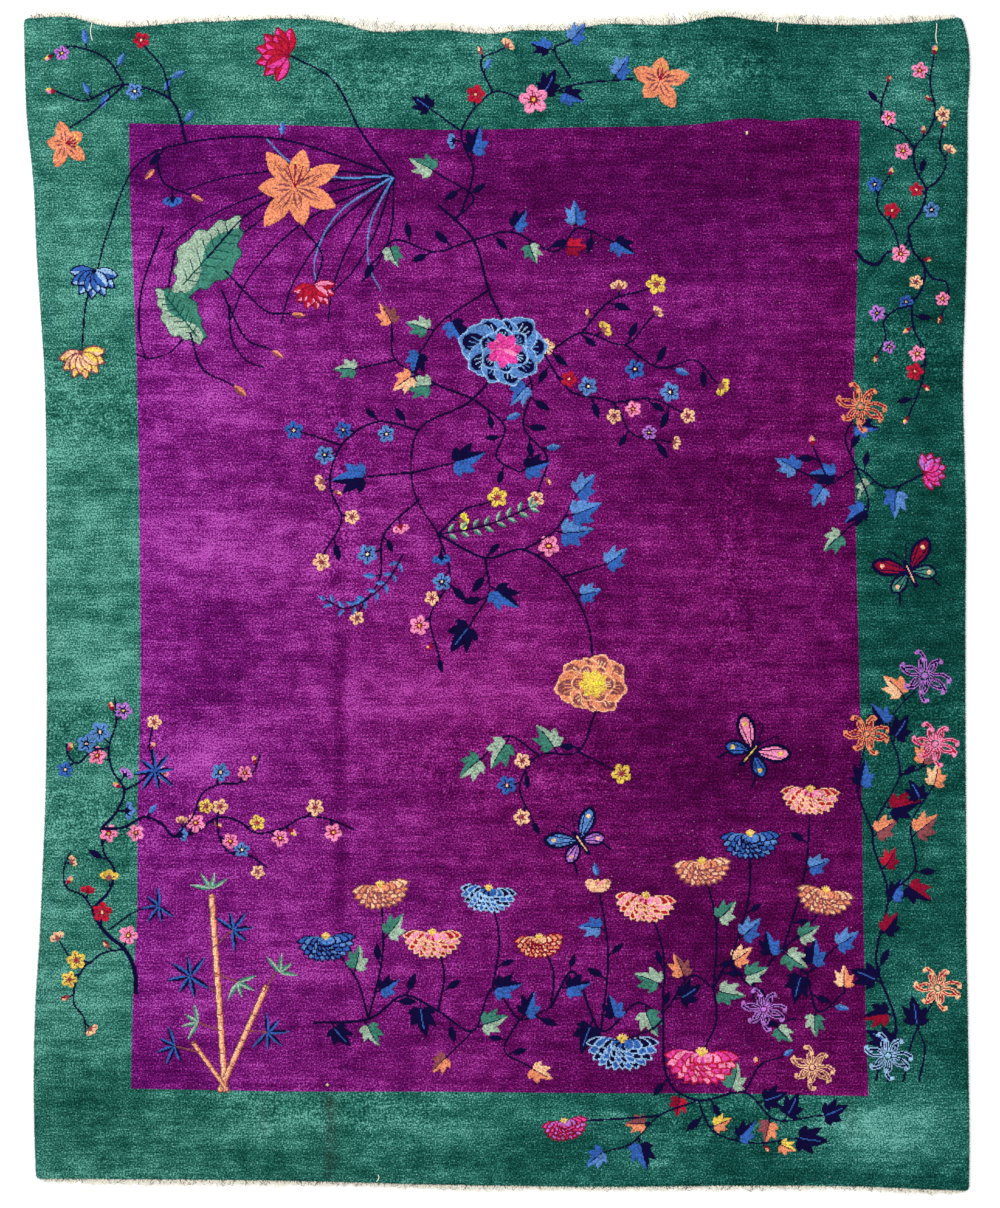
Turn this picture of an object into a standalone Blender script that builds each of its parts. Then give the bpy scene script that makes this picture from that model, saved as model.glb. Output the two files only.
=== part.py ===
"""Hand-knotted wool carpet with short cotton fringes, lying flat on the floor.

The carpet is one slab, foundation and clipped pile together. It has the uneven
outline that it takes on the floor, a rounded pile rim and soft swells on top.
Each end has a narrow cotton web with frayed locks of warp lying outward.

Metres, +Z up. +X is the width, +Y the length, and the underside lies at zero.
"""

import math
import random
from collections import namedtuple

import bmesh
import bpy
import numpy as np
from mathutils import Matrix, Vector

MM = 0.001

# Heights of the cloth
FOUNDATION_HEIGHT = 3.0 * MM
PILE_HEIGHT = 12.0 * MM
RIM_WIDTH = 12.0 * MM
CORNER_RADIUS = 18.0 * MM

# Nominal cut size, and the widths of the border around the field
CUT_WIDTH = 2400.0 * MM
CUT_LENGTH = 2995.0 * MM
BORDER_LEFT = 250.0 * MM
BORDER_RIGHT = 270.0 * MM
BORDER_TOP = 262.0 * MM
BORDER_BOTTOM = 236.0 * MM

# Spacing of the slab's sections, and the closer ones where the pile rounds down
SECTION_PITCH = 64.0 * MM
RIM_INSETS = (0.0, 1.5 * MM, 5.0 * MM, RIM_WIDTH, CORNER_RADIUS)
BORDER_SECTIONS = 3
SETTLING_STEPS = 4

# Cotton web and its locks of warp
PIECE_GAP = 0.3 * MM
WEB_WIDTH = 6.0 * MM
WEB_HEIGHT = 2.5 * MM
LOCK_PITCH = 16.5 * MM
LOCK_SHARE = 0.5
LOCK_MID_REACH = 0.5
LOCK_MID_WIDTH = 0.85
LOCK_TIP_WIDTH = 0.4
LOCK_MID_HEIGHT = 2.0 * MM
LOCK_TIP_HEIGHT = 1.5 * MM
LOCK_LEAN = 5.0 * MM
LOCK_SHORTEST = 0.7
LOCK_CURL = 0.35

# Side edges in millimetres: place along the length, left edge, right edge
Side = namedtuple("Side", "along left right")
SIDES = (
    Side(-1520, -1187, 1220),
    Side(-1392, -1192, 1221),
    Side(-1235, -1194, 1219),
    Side(-1028, -1189, 1216),
    Side(-871, -1179, 1213),
    Side(-690, -1171, 1213),
    Side(-551, -1165, 1212),
    Side(-355, -1161, 1211),
    Side(6, -1161, 1211),
    Side(221, -1161, 1212),
    Side(417, -1162, 1207),
    Side(574, -1166, 1204),
    Side(780, -1179, 1210),
    Side(899, -1187, 1213),
    Side(1077, -1195, 1216),
    Side(1245, -1212, 1216),
    Side(1455, -1219, 1215),
    Side(1510, -1220, 1200),
)

# End edges in millimetres: place across the width, edge of the pile, reach of the fringe
End = namedtuple("End", "across pile fringe")
TOP_END = (
    End(-1220, 1503, 1525),
    End(-1088, 1504, 1523),
    End(-1034, 1489, 1511),
    End(-766, 1494, 1516),
    End(-389, 1487, 1516),
    End(-338, 1473, 1512),
    End(-147, 1474, 1500),
    End(-2, 1464, 1495),
    End(60, 1472, 1496),
    End(173, 1472, 1500),
    End(271, 1487, 1511),
    End(473, 1489, 1529),
    End(573, 1508, 1531),
    End(694, 1495, 1523),
    End(893, 1486, 1521),
    End(1025, 1489, 1518),
    End(1200, 1505, 1521),
)
BOTTOM_END = (
    End(-1187, -1490, -1500),
    End(-1024, -1491, -1508),
    End(-637, -1494, -1511),
    End(-338, -1500, -1514),
    End(-209, -1504, -1518),
    End(-43, -1507, -1526),
    End(34, -1508, -1523),
    End(266, -1511, -1523),
    End(627, -1508, -1523),
    End(970, -1511, -1523),
    End(1097, -1517, -1531),
    End(1220, -1521, -1531),
)

# Soft swells and troughs of the lying cloth in millimetres: centre, half sizes, height
Swell = namedtuple("Swell", "across along half_across half_along height")
SWELLS = (
    Swell(-405, 250, 60, 330, 1.8),
    Swell(620, 120, 70, 420, 1.4),
    Swell(60, -420, 420, 80, 1.2),
    Swell(-1040, -350, 210, 60, -1.8),
    Swell(-1050, -560, 220, 90, 1.6),
    Swell(-1060, 520, 180, 120, 1.4),
    Swell(1080, 640, 160, 110, 1.5),
    Swell(1090, -300, 150, 130, -1.4),
    Swell(-330, 1350, 260, 70, -1.6),
    Swell(560, 1380, 200, 70, 1.7),
    Swell(-420, -1310, 300, 80, 1.5),
    Swell(640, -1330, 260, 70, -1.3),
)

PLUM = "#7a0f78"
GREEN = "#2f8f74"
OFF_WHITE = "#efe6d2"
WOOL_ROUGHNESS = 0.9
COTTON_ROUGHNESS = 0.95

SMOOTH_ANGLE = math.radians(40)
FRINGE_SEEDS = {"fringe_top": 3, "fringe_bottom": 8}


def linear(hex_colour):
    """Turn an sRGB hex value into a linear colour with full alpha."""
    channels = [int(hex_colour[i:i + 2], 16) / 255 for i in (1, 3, 5)]
    curve = [c / 12.92 if c <= 0.04045 else ((c + 0.055) / 1.055) ** 2.4 for c in channels]
    return (*curve, 1.0)


def mix(start, end, share):
    return start + (end - start) * share


def through(rows, place, value, at):
    """Read one column of a table at a place in another, on a smooth curve through its rows."""
    places = np.array([getattr(row, place) for row in rows]) * MM
    values = np.array([getattr(row, value) for row in rows]) * MM
    slopes = np.gradient(values, places)
    at = min(max(at, places[0]), places[-1])
    i = min(int(np.searchsorted(places, at, side="right")) - 1, len(places) - 2)
    span = places[i + 1] - places[i]
    t = (at - places[i]) / span
    rise = t * t * (3 - 2 * t)
    leave = span * slopes[i] * t * (1 - t) ** 2
    arrive = span * slopes[i + 1] * t * t * (t - 1)
    return float(mix(values[i], values[i + 1], rise) + leave + arrive)


def on_carpet(u, v):
    """Place on the lying carpet for shares of its width and length."""
    y = (v - 0.5) * CUT_LENGTH
    for _ in range(SETTLING_STEPS):
        left = through(SIDES, "along", "left", y)
        right = through(SIDES, "along", "right", y)
        x = mix(left, right, u)
        bottom = through(BOTTOM_END, "across", "pile", x)
        top = through(TOP_END, "across", "pile", x)
        y = mix(bottom, top, v)
    return x, y


def round_corner(u, v):
    """Move a share near a corner inward, so that the corner follows an arc."""
    inset_u = min(u, 1 - u) * CUT_WIDTH
    inset_v = min(v, 1 - v) * CUT_LENGTH
    if max(inset_u, inset_v) >= CORNER_RADIUS:
        return u, v
    p = 1 - inset_u / CORNER_RADIUS
    q = 1 - inset_v / CORNER_RADIUS
    new_u = CORNER_RADIUS * (1 - p * math.sqrt(1 - q * q / 2)) / CUT_WIDTH
    new_v = CORNER_RADIUS * (1 - q * math.sqrt(1 - p * p / 2)) / CUT_LENGTH
    return (new_u if u < 0.5 else 1 - new_u), (new_v if v < 0.5 else 1 - new_v)


def swell_height(x, y):
    """Height that the soft swells of the lying cloth add at a place."""
    total = 0.0
    for swell in SWELLS:
        across = (x - swell.across * MM) / (swell.half_across * MM)
        along = (y - swell.along * MM) / (swell.half_along * MM)
        total += swell.height * MM * math.exp(-across * across - along * along)
    return total


def pile_top(u, v, x, y):
    """Height of the pile, which rounds down to the foundation along the rim."""
    inset = min(min(u, 1 - u) * CUT_WIDTH, min(v, 1 - v) * CUT_LENGTH, RIM_WIDTH)
    fullness = math.sqrt(1 - (1 - inset / RIM_WIDTH) ** 2)
    return mix(FOUNDATION_HEIGHT, PILE_HEIGHT + swell_height(x, y), fullness)


def section_shares(size, near_border, far_border):
    """Shares of a size at which the slab has a section: rim, border, field, border, rim."""
    near = list(RIM_INSETS)
    far = [size - inset for inset in reversed(RIM_INSETS)]
    field_start = near_border
    field_end = size - far_border
    field_count = round((field_end - field_start) / SECTION_PITCH)
    near_run = np.linspace(near[-1], field_start, BORDER_SECTIONS + 1)[1:]
    field_run = np.linspace(field_start, field_end, field_count + 1)[1:]
    far_run = np.linspace(field_end, far[0], BORDER_SECTIONS + 1)[1:-1]
    return [float(place) / size for place in (*near, *near_run, *field_run, *far_run, *far)]


def in_field(u, v):
    """True where a share of the carpet lies on the plum field."""
    across = BORDER_LEFT / CUT_WIDTH < u < 1 - BORDER_RIGHT / CUT_WIDTH
    along = BORDER_BOTTOM / CUT_LENGTH < v < 1 - BORDER_TOP / CUT_LENGTH
    return across and along


def fibre(name, hex_colour, roughness):
    """Material of one dyed fibre."""
    material = bpy.data.materials.new(name)
    material.use_nodes = True
    shader = material.node_tree.nodes["Principled BSDF"]
    shader.inputs["Base Color"].default_value = linear(hex_colour)
    shader.inputs["Roughness"].default_value = roughness
    shader.inputs["Metallic"].default_value = 0.0
    material.diffuse_color = linear(hex_colour)
    return material


def add_object(name, bm, materials):
    """Turn a finished bmesh into a named, smooth-shaded object."""
    bmesh.ops.recalc_face_normals(bm, faces=bm.faces)
    mesh = bpy.data.meshes.new(name)
    bm.to_mesh(mesh)
    bm.free()
    mesh.shade_smooth()
    mesh.set_sharp_from_angle(angle=SMOOTH_ANGLE)
    for material in materials:
        mesh.materials.append(material)
    piece = bpy.data.objects.new(name, mesh)
    bpy.context.scene.collection.objects.link(piece)
    return piece


def make_carpet():
    """One slab: a grid laid to the outline, with its edge brought down to the floor."""
    columns = section_shares(CUT_WIDTH, BORDER_LEFT, BORDER_RIGHT)
    rows = section_shares(CUT_LENGTH, BORDER_BOTTOM, BORDER_TOP)
    bm = bmesh.new()
    bmesh.ops.create_grid(bm, x_segments=len(columns) - 1, y_segments=len(rows) - 1, size=0.5)
    shares = {}
    for vertex in bm.verts:
        u = columns[round((vertex.co.x + 0.5) * (len(columns) - 1))]
        v = rows[round((vertex.co.y + 0.5) * (len(rows) - 1))]
        shares[vertex] = (u, v)
        x, y = on_carpet(*round_corner(u, v))
        vertex.co = (x, y, pile_top(u, v, x, y))
    for face in bm.faces:
        u, v = np.mean([shares[vertex] for vertex in face.verts], axis=0)
        face.material_index = 0 if in_field(u, v) else 1
    rim = [edge for edge in bm.edges if edge.is_boundary]
    wall = bmesh.ops.extrude_edge_only(bm, edges=rim)["geom"]
    for vertex in (item for item in wall if isinstance(item, bmesh.types.BMVert)):
        vertex.co.z = 0.0
    hem = [item for item in wall if isinstance(item, bmesh.types.BMEdge) and item.is_boundary]
    underside = bmesh.ops.contextual_create(bm, geom=hem)["faces"]
    for face in underside:
        face.material_index = 1
    field_wool = fibre("wool_plum", PLUM, WOOL_ROUGHNESS)
    border_wool = fibre("wool_green", GREEN, WOOL_ROUGHNESS)
    return add_object("carpet", bm, [field_wool, border_wool])


def web_stations(share_along):
    """Places where a web has a section, along the slab's own end edge, and its lock runs."""
    columns = section_shares(CUT_WIDTH, BORDER_LEFT, BORDER_RIGHT)
    skipped = len(RIM_INSETS) - 1
    corners = [Vector(on_carpet(u, share_along)) for u in columns[skipped:-skipped]]
    places = [corners[0]]
    lock_runs = []
    for start, end in zip(corners, corners[1:]):
        count = round((end - start).length / LOCK_PITCH)
        half = LOCK_SHARE / 2 / count
        for k in range(count):
            middle = (k + 0.5) / count
            lock_runs.append(len(places))
            places += [start.lerp(end, middle - half), start.lerp(end, middle + half)]
        places.append(end)
    return places, lock_runs


def draw_lock(bm, face, run, lean):
    """Draw one lock of warp out of a web's outer face, narrowing and sinking towards its tip."""
    root = face.calc_center_median()
    width = max(v.co.x for v in face.verts) - min(v.co.x for v in face.verts)
    stages = (
        (LOCK_MID_REACH, LOCK_CURL, LOCK_MID_WIDTH, LOCK_MID_HEIGHT),
        (1.0, 1.0, LOCK_TIP_WIDTH, LOCK_TIP_HEIGHT),
    )
    for reach, lean_share, width_share, height in stages:
        face = bmesh.ops.extrude_discrete_faces(bm, faces=[face])["faces"][0]
        middle = face.calc_center_median()
        for vertex in face.verts:
            side = math.copysign(width * width_share / 2, vertex.co.x - middle.x)
            above = height if vertex.co.z > middle.z else 0.0
            vertex.co = Vector((root.x + lean * lean_share + side, root.y + run * reach, above))


def make_fringe(name, share_along, end_rows):
    """A web that follows one end of the carpet, with a lock drawn out of it at each lock run."""
    outward = 1 if share_along > 0.5 else -1
    chance = random.Random(FRINGE_SEEDS[name])
    places, lock_runs = web_stations(share_along)
    bm = bmesh.new()
    rings = []
    for x, y in places:
        inner = y + outward * PIECE_GAP
        outer = inner + outward * WEB_WIDTH
        corners = [(inner, 0.0), (inner, WEB_HEIGHT), (outer, WEB_HEIGHT), (outer, 0.0)]
        rings.append([bm.verts.new((x, edge, height)) for edge, height in corners])
    outer_faces = []
    for ring, following in zip(rings, rings[1:]):
        for side in range(4):
            beside = (side + 1) % 4
            face = bm.faces.new((ring[side], ring[beside], following[beside], following[side]))
            if side == 2:
                outer_faces.append(face)
    bm.faces.new(rings[0])
    bm.faces.new(reversed(rings[-1]))
    for face in [outer_faces[run] for run in lock_runs]:
        root = face.calc_center_median()
        reach = through(end_rows, "across", "fringe", root.x) - root.y
        draw_lock(bm, face, reach * chance.uniform(LOCK_SHORTEST, 1.0), chance.uniform(-LOCK_LEAN, LOCK_LEAN))
    return add_object(name, bm, [fibre(f"cotton_{name}", OFF_WHITE, COTTON_ROUGHNESS)])


def centre_on_origin(pieces):
    """Move the pieces together, so that the middle of their outline is at the origin."""
    corners = [piece.matrix_world @ Vector(corner) for piece in pieces for corner in piece.bound_box]
    low = Vector(map(min, zip(*corners)))
    high = Vector(map(max, zip(*corners)))
    middle = (low + high) / 2
    for piece in pieces:
        piece.data.transform(Matrix.Translation((-middle.x, -middle.y, 0.0)))


def main():
    for old in list(bpy.data.objects):
        bpy.data.objects.remove(old)
    pieces = [
        make_carpet(),
        make_fringe("fringe_top", 1.0, TOP_END),
        make_fringe("fringe_bottom", 0.0, BOTTOM_END),
    ]
    centre_on_origin(pieces)


main()
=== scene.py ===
"""Looks of a hand-knotted wool carpet: plum field, green border, flower sprays, cotton fringes.

The pile is one slab of clipped wool. The sprays are drawn knot by knot on a chart, as a
carpet designer draws them, and each knot of coloured wool becomes a tuft of the relief
that stands a little proud of the ground. Sizes in tables are in millimetres, measured
across and along from the middle of the carpet. Objects are in metres.
"""

import math
import random
from collections import namedtuple

import bpy
import numpy as np
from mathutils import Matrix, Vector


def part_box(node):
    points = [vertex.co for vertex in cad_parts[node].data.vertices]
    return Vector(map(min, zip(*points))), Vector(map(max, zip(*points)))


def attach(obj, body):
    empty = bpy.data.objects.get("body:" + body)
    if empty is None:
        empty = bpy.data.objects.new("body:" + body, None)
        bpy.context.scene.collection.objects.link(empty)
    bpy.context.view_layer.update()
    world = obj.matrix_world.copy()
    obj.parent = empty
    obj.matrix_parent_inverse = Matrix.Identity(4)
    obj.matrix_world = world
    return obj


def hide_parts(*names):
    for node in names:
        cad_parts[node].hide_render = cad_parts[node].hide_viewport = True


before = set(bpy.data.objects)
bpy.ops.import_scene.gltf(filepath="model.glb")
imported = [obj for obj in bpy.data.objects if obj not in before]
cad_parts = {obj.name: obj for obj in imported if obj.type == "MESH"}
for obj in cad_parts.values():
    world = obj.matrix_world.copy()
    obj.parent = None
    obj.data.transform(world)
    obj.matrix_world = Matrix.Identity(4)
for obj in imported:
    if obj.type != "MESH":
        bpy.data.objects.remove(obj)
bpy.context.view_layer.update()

MM = 0.001
TAU = 2 * math.pi

# Heights and nominal sizes of the cloth, in millimetres
FOUNDATION_HEIGHT = 3.0
PILE_HEIGHT = 12.0
RIM_WIDTH = 12.0
CORNER_RADIUS = 9.0
CUT_WIDTH = 2400.0
CUT_LENGTH = 2995.0
BORDER_LEFT = 250.0
BORDER_RIGHT = 270.0
BORDER_TOP = 262.0
BORDER_BOTTOM = 236.0
SETTLING_STEPS = 4

# The pile's own grid, and how far its tufts stand up and down
PILE_PITCH = 9.6
RIM_INSETS = (0.0, 1.5, 4.0, CORNER_RADIUS, RIM_WIDTH, 18.0)
TUFT_LUMPS = 0.22
SOFT_LUMPS = 0.5
ROW_LUMPS = 0.18
SOFTENINGS = 6
SOFT_GAIN = 4
ROW_SOFTENINGS = 8
ROW_GAIN = 5
ROW_EVENNESS = 0.6
PILE_SEED = 11


def table(kind, rows):
    """A table whose rows give the values of one kind, in the order of its names."""
    return tuple(kind(*row) for row in rows)


# Outline of the lying carpet: side edges and the sides of the field at places along it
Side = namedtuple("Side", "along left right")
SIDES = table(Side, (
    (-1520, -1187, 1220), (-1392, -1192, 1221), (-1235, -1194, 1219), (-1028, -1189, 1216),
    (-871, -1179, 1213), (-690, -1171, 1213), (-551, -1165, 1212), (-355, -1161, 1211),
    (6, -1161, 1211), (221, -1161, 1212), (417, -1162, 1207), (574, -1166, 1204),
    (780, -1179, 1210), (899, -1187, 1213), (1077, -1195, 1216), (1245, -1212, 1216),
    (1455, -1219, 1215), (1510, -1220, 1200),
))
FIELD_SIDES = table(Side, (
    (-1278, -943, 960), (-1015, -937, 951), (-770, -926, 946), (-533, -926, 943),
    (-414, -922, 941), (-177, -918, 936), (92, -920, 929), (306, -922, 925), (520, -926, 921),
    (744, -933, 928), (900, -940, 932), (1087, -946, 936), (1237, -948, 938),
))

# Ends of the carpet and of the field at places across it, and the reach of each fringe
End = namedtuple("End", "across pile fringe")
TOP_END = table(End, (
    (-1220, 1503, 1525), (-1088, 1504, 1523), (-1034, 1489, 1511), (-766, 1494, 1516),
    (-389, 1487, 1516), (-338, 1473, 1512), (-147, 1474, 1500), (-2, 1464, 1495), (60, 1472, 1496),
    (173, 1472, 1500), (271, 1487, 1511), (473, 1489, 1529), (573, 1508, 1531), (694, 1495, 1523),
    (893, 1486, 1521), (1025, 1489, 1518), (1200, 1505, 1521),
))
BOTTOM_END = table(End, (
    (-1187, -1494, -1506), (-1024, -1495, -1514), (-637, -1498, -1517), (-338, -1504, -1520),
    (-209, -1508, -1524), (-43, -1511, -1532), (34, -1512, -1529), (266, -1515, -1529),
    (627, -1512, -1529), (970, -1515, -1529), (1097, -1521, -1537), (1220, -1525, -1537),
))
FieldEnd = namedtuple("FieldEnd", "across bottom top")
FIELD_ENDS = table(FieldEnd, (
    (-949, -1260, 1231), (-766, -1263, 1227), (-611, -1266, 1227), (-95, -1268, 1214),
    (194, -1271, 1220), (524, -1272, 1229), (656, -1273, 1244), (736, -1275, 1236),
    (816, -1277, 1244), (950, -1279, 1236),
))

# Soft swells and troughs of the lying cloth: centre, half sizes, height
Patch = namedtuple("Patch", "across along half_across half_along amount")
SWELLS = table(Patch, (
    (-405, 250, 60, 330, 1.8), (620, 120, 70, 420, 1.4), (60, -420, 420, 80, 1.2),
    (-1040, -350, 210, 60, -1.8), (-1050, -560, 220, 90, 1.6), (-1060, 520, 180, 120, 1.4),
    (1080, 640, 160, 110, 1.5), (1090, -300, 150, 130, -1.4), (-330, 1350, 260, 70, -1.6),
    (560, 1380, 200, 70, 1.7), (-420, -1310, 300, 80, 1.5), (640, -1330, 260, 70, -1.3),
))

# Painted sheen and painted shade: light and dark clouds where the pile leans towards or away from the
# eye, dark and light lines along creases, and the pile painted lighter towards the left
PAINTED_SHEEN_ACROSS = -0.6
# Painted cool daylight: the distance over which it fades from left to right, and its share over the
# middle
DAYLIGHT_REACH = 1400.0
DAYLIGHT_MIDDLE = 0.35
PAINTED_SHEEN_CLOUDS = table(Patch, (
    (-740, 146, 130, 90, 0.75), (-760, 520, 120, 60, 0.6), (-760, -396, 120, 70, 0.8),
    (-120, -254, 420, 60, 0.7), (-250, -590, 200, 70, 0.5), (-700, -1028, 110, 45, 0.9),
    (-300, 100, 350, 300, 0.35), (720, 395, 300, 22, 0.7), (660, -225, 250, 20, 0.4),
    (550, 1060, 350, 180, -0.3), (-150, 1090, 800, 130, -0.7), (600, -480, 330, 150, -0.7),
    (560, -900, 350, 260, -0.6), (-830, -1200, 130, 80, -0.6), (-650, 620, 200, 40, -0.4),
    (-760, -20, 160, 45, -0.35), (-300, -1150, 500, 90, -0.3), (-1070, 840, 70, 110, 0.4),
    (-1040, 640, 90, 40, -0.5), (-1040, 310, 90, 40, -0.5), (-1030, 180, 90, 70, 0.35),
    (-1030, -150, 90, 110, 0.5), (-1100, -360, 70, 60, -0.7), (-1020, -700, 100, 50, -0.5),
    (-1080, -950, 90, 110, 0.2), (-1060, -1330, 170, 130, -1.1), (-640, -1370, 260, 50, 0.5),
    (-160, -1380, 140, 50, 0.1), (-400, -1370, 60, 90, -0.6), (240, -1400, 100, 60, -0.4),
    (640, -1380, 110, 70, -0.5), (980, -1370, 210, 75, 2.0), (1090, 1030, 90, 200, 0.3),
    (1060, 1340, 180, 110, 0.8), (-1000, 1390, 240, 110, -0.8), (-840, 1150, 90, 110, -0.6),
    (-755, -230, 110, 60, -0.8), (-300, -435, 110, 30, 0.8), (-900, -430, 160, 30, 0.6),
    (1090, 60, 120, 450, -0.7), (1090, -1000, 80, 90, 0.7), (-40, 1390, 60, 60, 0.4),
    (-300, 1420, 90, 40, -0.4), (540, 1340, 80, 60, 0.4), (660, 1430, 60, 40, -0.5),
    (-405, -470, 16, 620, -0.7), (-370, -470, 20, 620, 0.25), (266, -215, 14, 330, -0.5),
    (653, -48, 14, 150, -0.45), (-395, 700, 14, 200, -0.3), (-840, 1030, 120, 130, -0.45),
    (-190, 1330, 140, 60, 0.7), (-60, -260, 240, 130, 0.35), (430, 770, 130, 60, 0.6),
    (-150, 1120, 60, 40, 0.6), (610, 60, 280, 40, 0.4), (-480, -930, 200, 60, 0.5),
    (-160, -1180, 260, 40, 0.4), (1110, 560, 60, 220, -0.4), (-150, -1445, 650, 45, -0.55),
    (-760, -1300, 60, 70, -0.5), (-560, -1440, 90, 45, -0.5), (120, -1330, 110, 40, 0.5),
    (420, -1440, 160, 40, 0.35), (330, 130, 160, 50, 0.45), (760, -20, 110, 60, -0.35),
    (430, -300, 150, 60, -0.4), (500, 300, 160, 110, -0.35),
))

# Where painted cool daylight reaches farther over the field or less far
PAINTED_DAYLIGHT_PLACES = table(Patch, (
    (600, 850, 420, 420, 0.5), (-80, -280, 330, 300, -0.32), (150, -650, 300, 200, -0.2),
    (600, -1050, 380, 220, 0.2),
))
# Narrow dark marks near the bottom end
DARK_MARK_PLACES = table(Patch, (
    (-430, -1300, 16, 26, 0.5), (-424, -1350, 12, 40, 0.42), (-430, -1440, 16, 60, 0.35),
    (-600, -1330, 12, 60, 0.2), (911, -1340, 14, 60, 0.25),
))

# Dyed wools of the sprays
WOOLS = {
    "navy": "#0c0730",
    "blue": "#2d559c",
    "mid_blue": "#4d75ae",
    "sky": "#86a8cb",
    "leaf_green": "#366f60",
    "sage": "#8aa08d",
    "bottle": "#0c423d",
    "orange": "#d47e5b",
    "peach": "#e0a983",
    "brown": "#7d4248",
    "pink": "#e07ca2",
    "hot_pink": "#cb398b",
    "red": "#a3162f",
    "crimson": "#7d0d2a",
    "gold": "#d2ae48",
    "cream": "#dbc49f",
    "lilac": "#9f65b5",
    "yellow": "#d9cb39",
}
WOOL_NAMES = list(WOOLS)


# Shape of the cloth

def through(rows, place, value, at):
    """Read one column of a table at places in another, on a smooth curve through its rows."""
    places = np.array([getattr(row, place) for row in rows], float)
    values = np.array([getattr(row, value) for row in rows], float)
    slopes = np.gradient(values, places)
    at = np.clip(at, places[0], places[-1])
    i = np.clip(np.searchsorted(places, at, side="right") - 1, 0, len(places) - 2)
    span = places[i + 1] - places[i]
    t = (at - places[i]) / span
    rise = t * t * (3 - 2 * t)
    leave = span * slopes[i] * t * (1 - t) ** 2
    arrive = span * slopes[i + 1] * t * t * (t - 1)
    return values[i] + (values[i + 1] - values[i]) * rise + leave + arrive


def between(at, stops, places):
    """Straight runs between places that themselves vary from point to point."""
    result = places[0] + 0 * at
    for (start, end), (low, high) in zip(zip(stops, stops[1:]), zip(places, places[1:])):
        share = np.clip((at - start) / (end - start), 0, 1)
        result = result + (high - low) * share
    return result


def on_carpet(across, along):
    """Lying place of each nominal place of the cut, so that the field keeps its own edges."""
    across_stops = (0.0, BORDER_LEFT, CUT_WIDTH - BORDER_RIGHT, CUT_WIDTH)
    along_stops = (0.0, BORDER_BOTTOM, CUT_LENGTH - BORDER_TOP, CUT_LENGTH)
    y = along - CUT_LENGTH / 2
    for _ in range(SETTLING_STEPS):
        x = between(across, across_stops, (
            through(SIDES, "along", "left", y),
            through(FIELD_SIDES, "along", "left", y),
            through(FIELD_SIDES, "along", "right", y),
            through(SIDES, "along", "right", y),
        ))
        y = between(along, along_stops, (
            through(BOTTOM_END, "across", "pile", x),
            through(FIELD_ENDS, "across", "bottom", x),
            through(FIELD_ENDS, "across", "top", x),
            through(TOP_END, "across", "pile", x),
        ))
    return x, y


def round_corners(across, along):
    """Move nominal places near a corner inward, so that the corner follows an arc."""
    inset_u = np.minimum(across, CUT_WIDTH - across)
    inset_v = np.minimum(along, CUT_LENGTH - along)
    p = np.clip(1 - inset_u / CORNER_RADIUS, 0, 1)
    q = np.clip(1 - inset_v / CORNER_RADIUS, 0, 1)
    new_u = np.where(p * q > 0, CORNER_RADIUS * (1 - p * np.sqrt(1 - q * q / 2)), inset_u)
    new_v = np.where(p * q > 0, CORNER_RADIUS * (1 - q * np.sqrt(1 - p * p / 2)), inset_v)
    return (
        np.where(across < CUT_WIDTH / 2, new_u, CUT_WIDTH - new_u),
        np.where(along < CUT_LENGTH / 2, new_v, CUT_LENGTH - new_v),
    )


def patches_at(patches, x, y):
    """Sum of soft round patches at each place."""
    total = 0 * x
    for patch in patches:
        across = (x - patch.across) / patch.half_across
        along = (y - patch.along) / patch.half_along
        total = total + patch.amount * np.exp(-across * across - along * along)
    return total


def softened(values, times):
    """Values of a grid, each one averaged with its neighbours a few times."""
    for _ in range(times):
        padded = np.pad(values, 1, mode="edge")
        values = (padded[:-2, 1:-1] + padded[2:, 1:-1] + padded[1:-1, :-2] + padded[1:-1, 2:]) / 4
    return values


def grid_places(size, near_border, far_border):
    """Nominal places of the pile's rows of points: rim, border, field, border, rim."""
    near = list(RIM_INSETS)
    far = [size - inset for inset in reversed(RIM_INSETS)]
    stops = (near[-1], near_border, size - far_border, far[0])
    runs = [
        np.linspace(start, end, round((end - start) / PILE_PITCH) + 1)[1:]
        for start, end in zip(stops, stops[1:])
    ]
    return np.concatenate([near, *runs, far[1:]])


# Materials

def linear(hex_colour):
    """Turn an sRGB hex value into a linear colour with full alpha."""
    channels = [int(hex_colour[i:i + 2], 16) / 255 for i in (1, 3, 5)]
    curve = [c / 12.92 if c <= 0.04045 else ((c + 0.055) / 1.055) ** 2.4 for c in channels]
    return (*curve, 1.0)


def shaded(hex_colour, share):
    """A darker or lighter hex value of the same dye."""
    channels = [int(hex_colour[i:i + 2], 16) for i in (1, 3, 5)]
    return "#" + "".join(f"{min(255, round(c * share)):02x}" for c in channels)


def add_node(tree, kind, settings=None, inputs=None):
    """Add a node, set its own settings, and give each named input a value or a link."""
    made = tree.nodes.new(kind)
    for name, value in (settings or {}).items():
        setattr(made, name, value)
    for name, value in (inputs or {}).items():
        socket = made.inputs[name]
        if isinstance(value, bpy.types.NodeSocket):
            tree.links.new(value, socket)
        else:
            socket.default_value = value
    return made


def new_material(name):
    material = bpy.data.materials.new(name)
    material.use_nodes = True
    material.node_tree.nodes.clear()
    return material, material.node_tree


def finish_material(tree, shader):
    add_node(tree, "ShaderNodeOutputMaterial", inputs={"Surface": shader.outputs["BSDF"]})


def set_ramp(ramp, stops):
    """Give a colour ramp its stops, each a place and a hex colour."""
    points = ramp.color_ramp.elements
    while len(points) < len(stops):
        points.new(0.5)
    for point, (place, colour) in zip(points, stops):
        point.position = place
        point.color = linear(colour)


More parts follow.
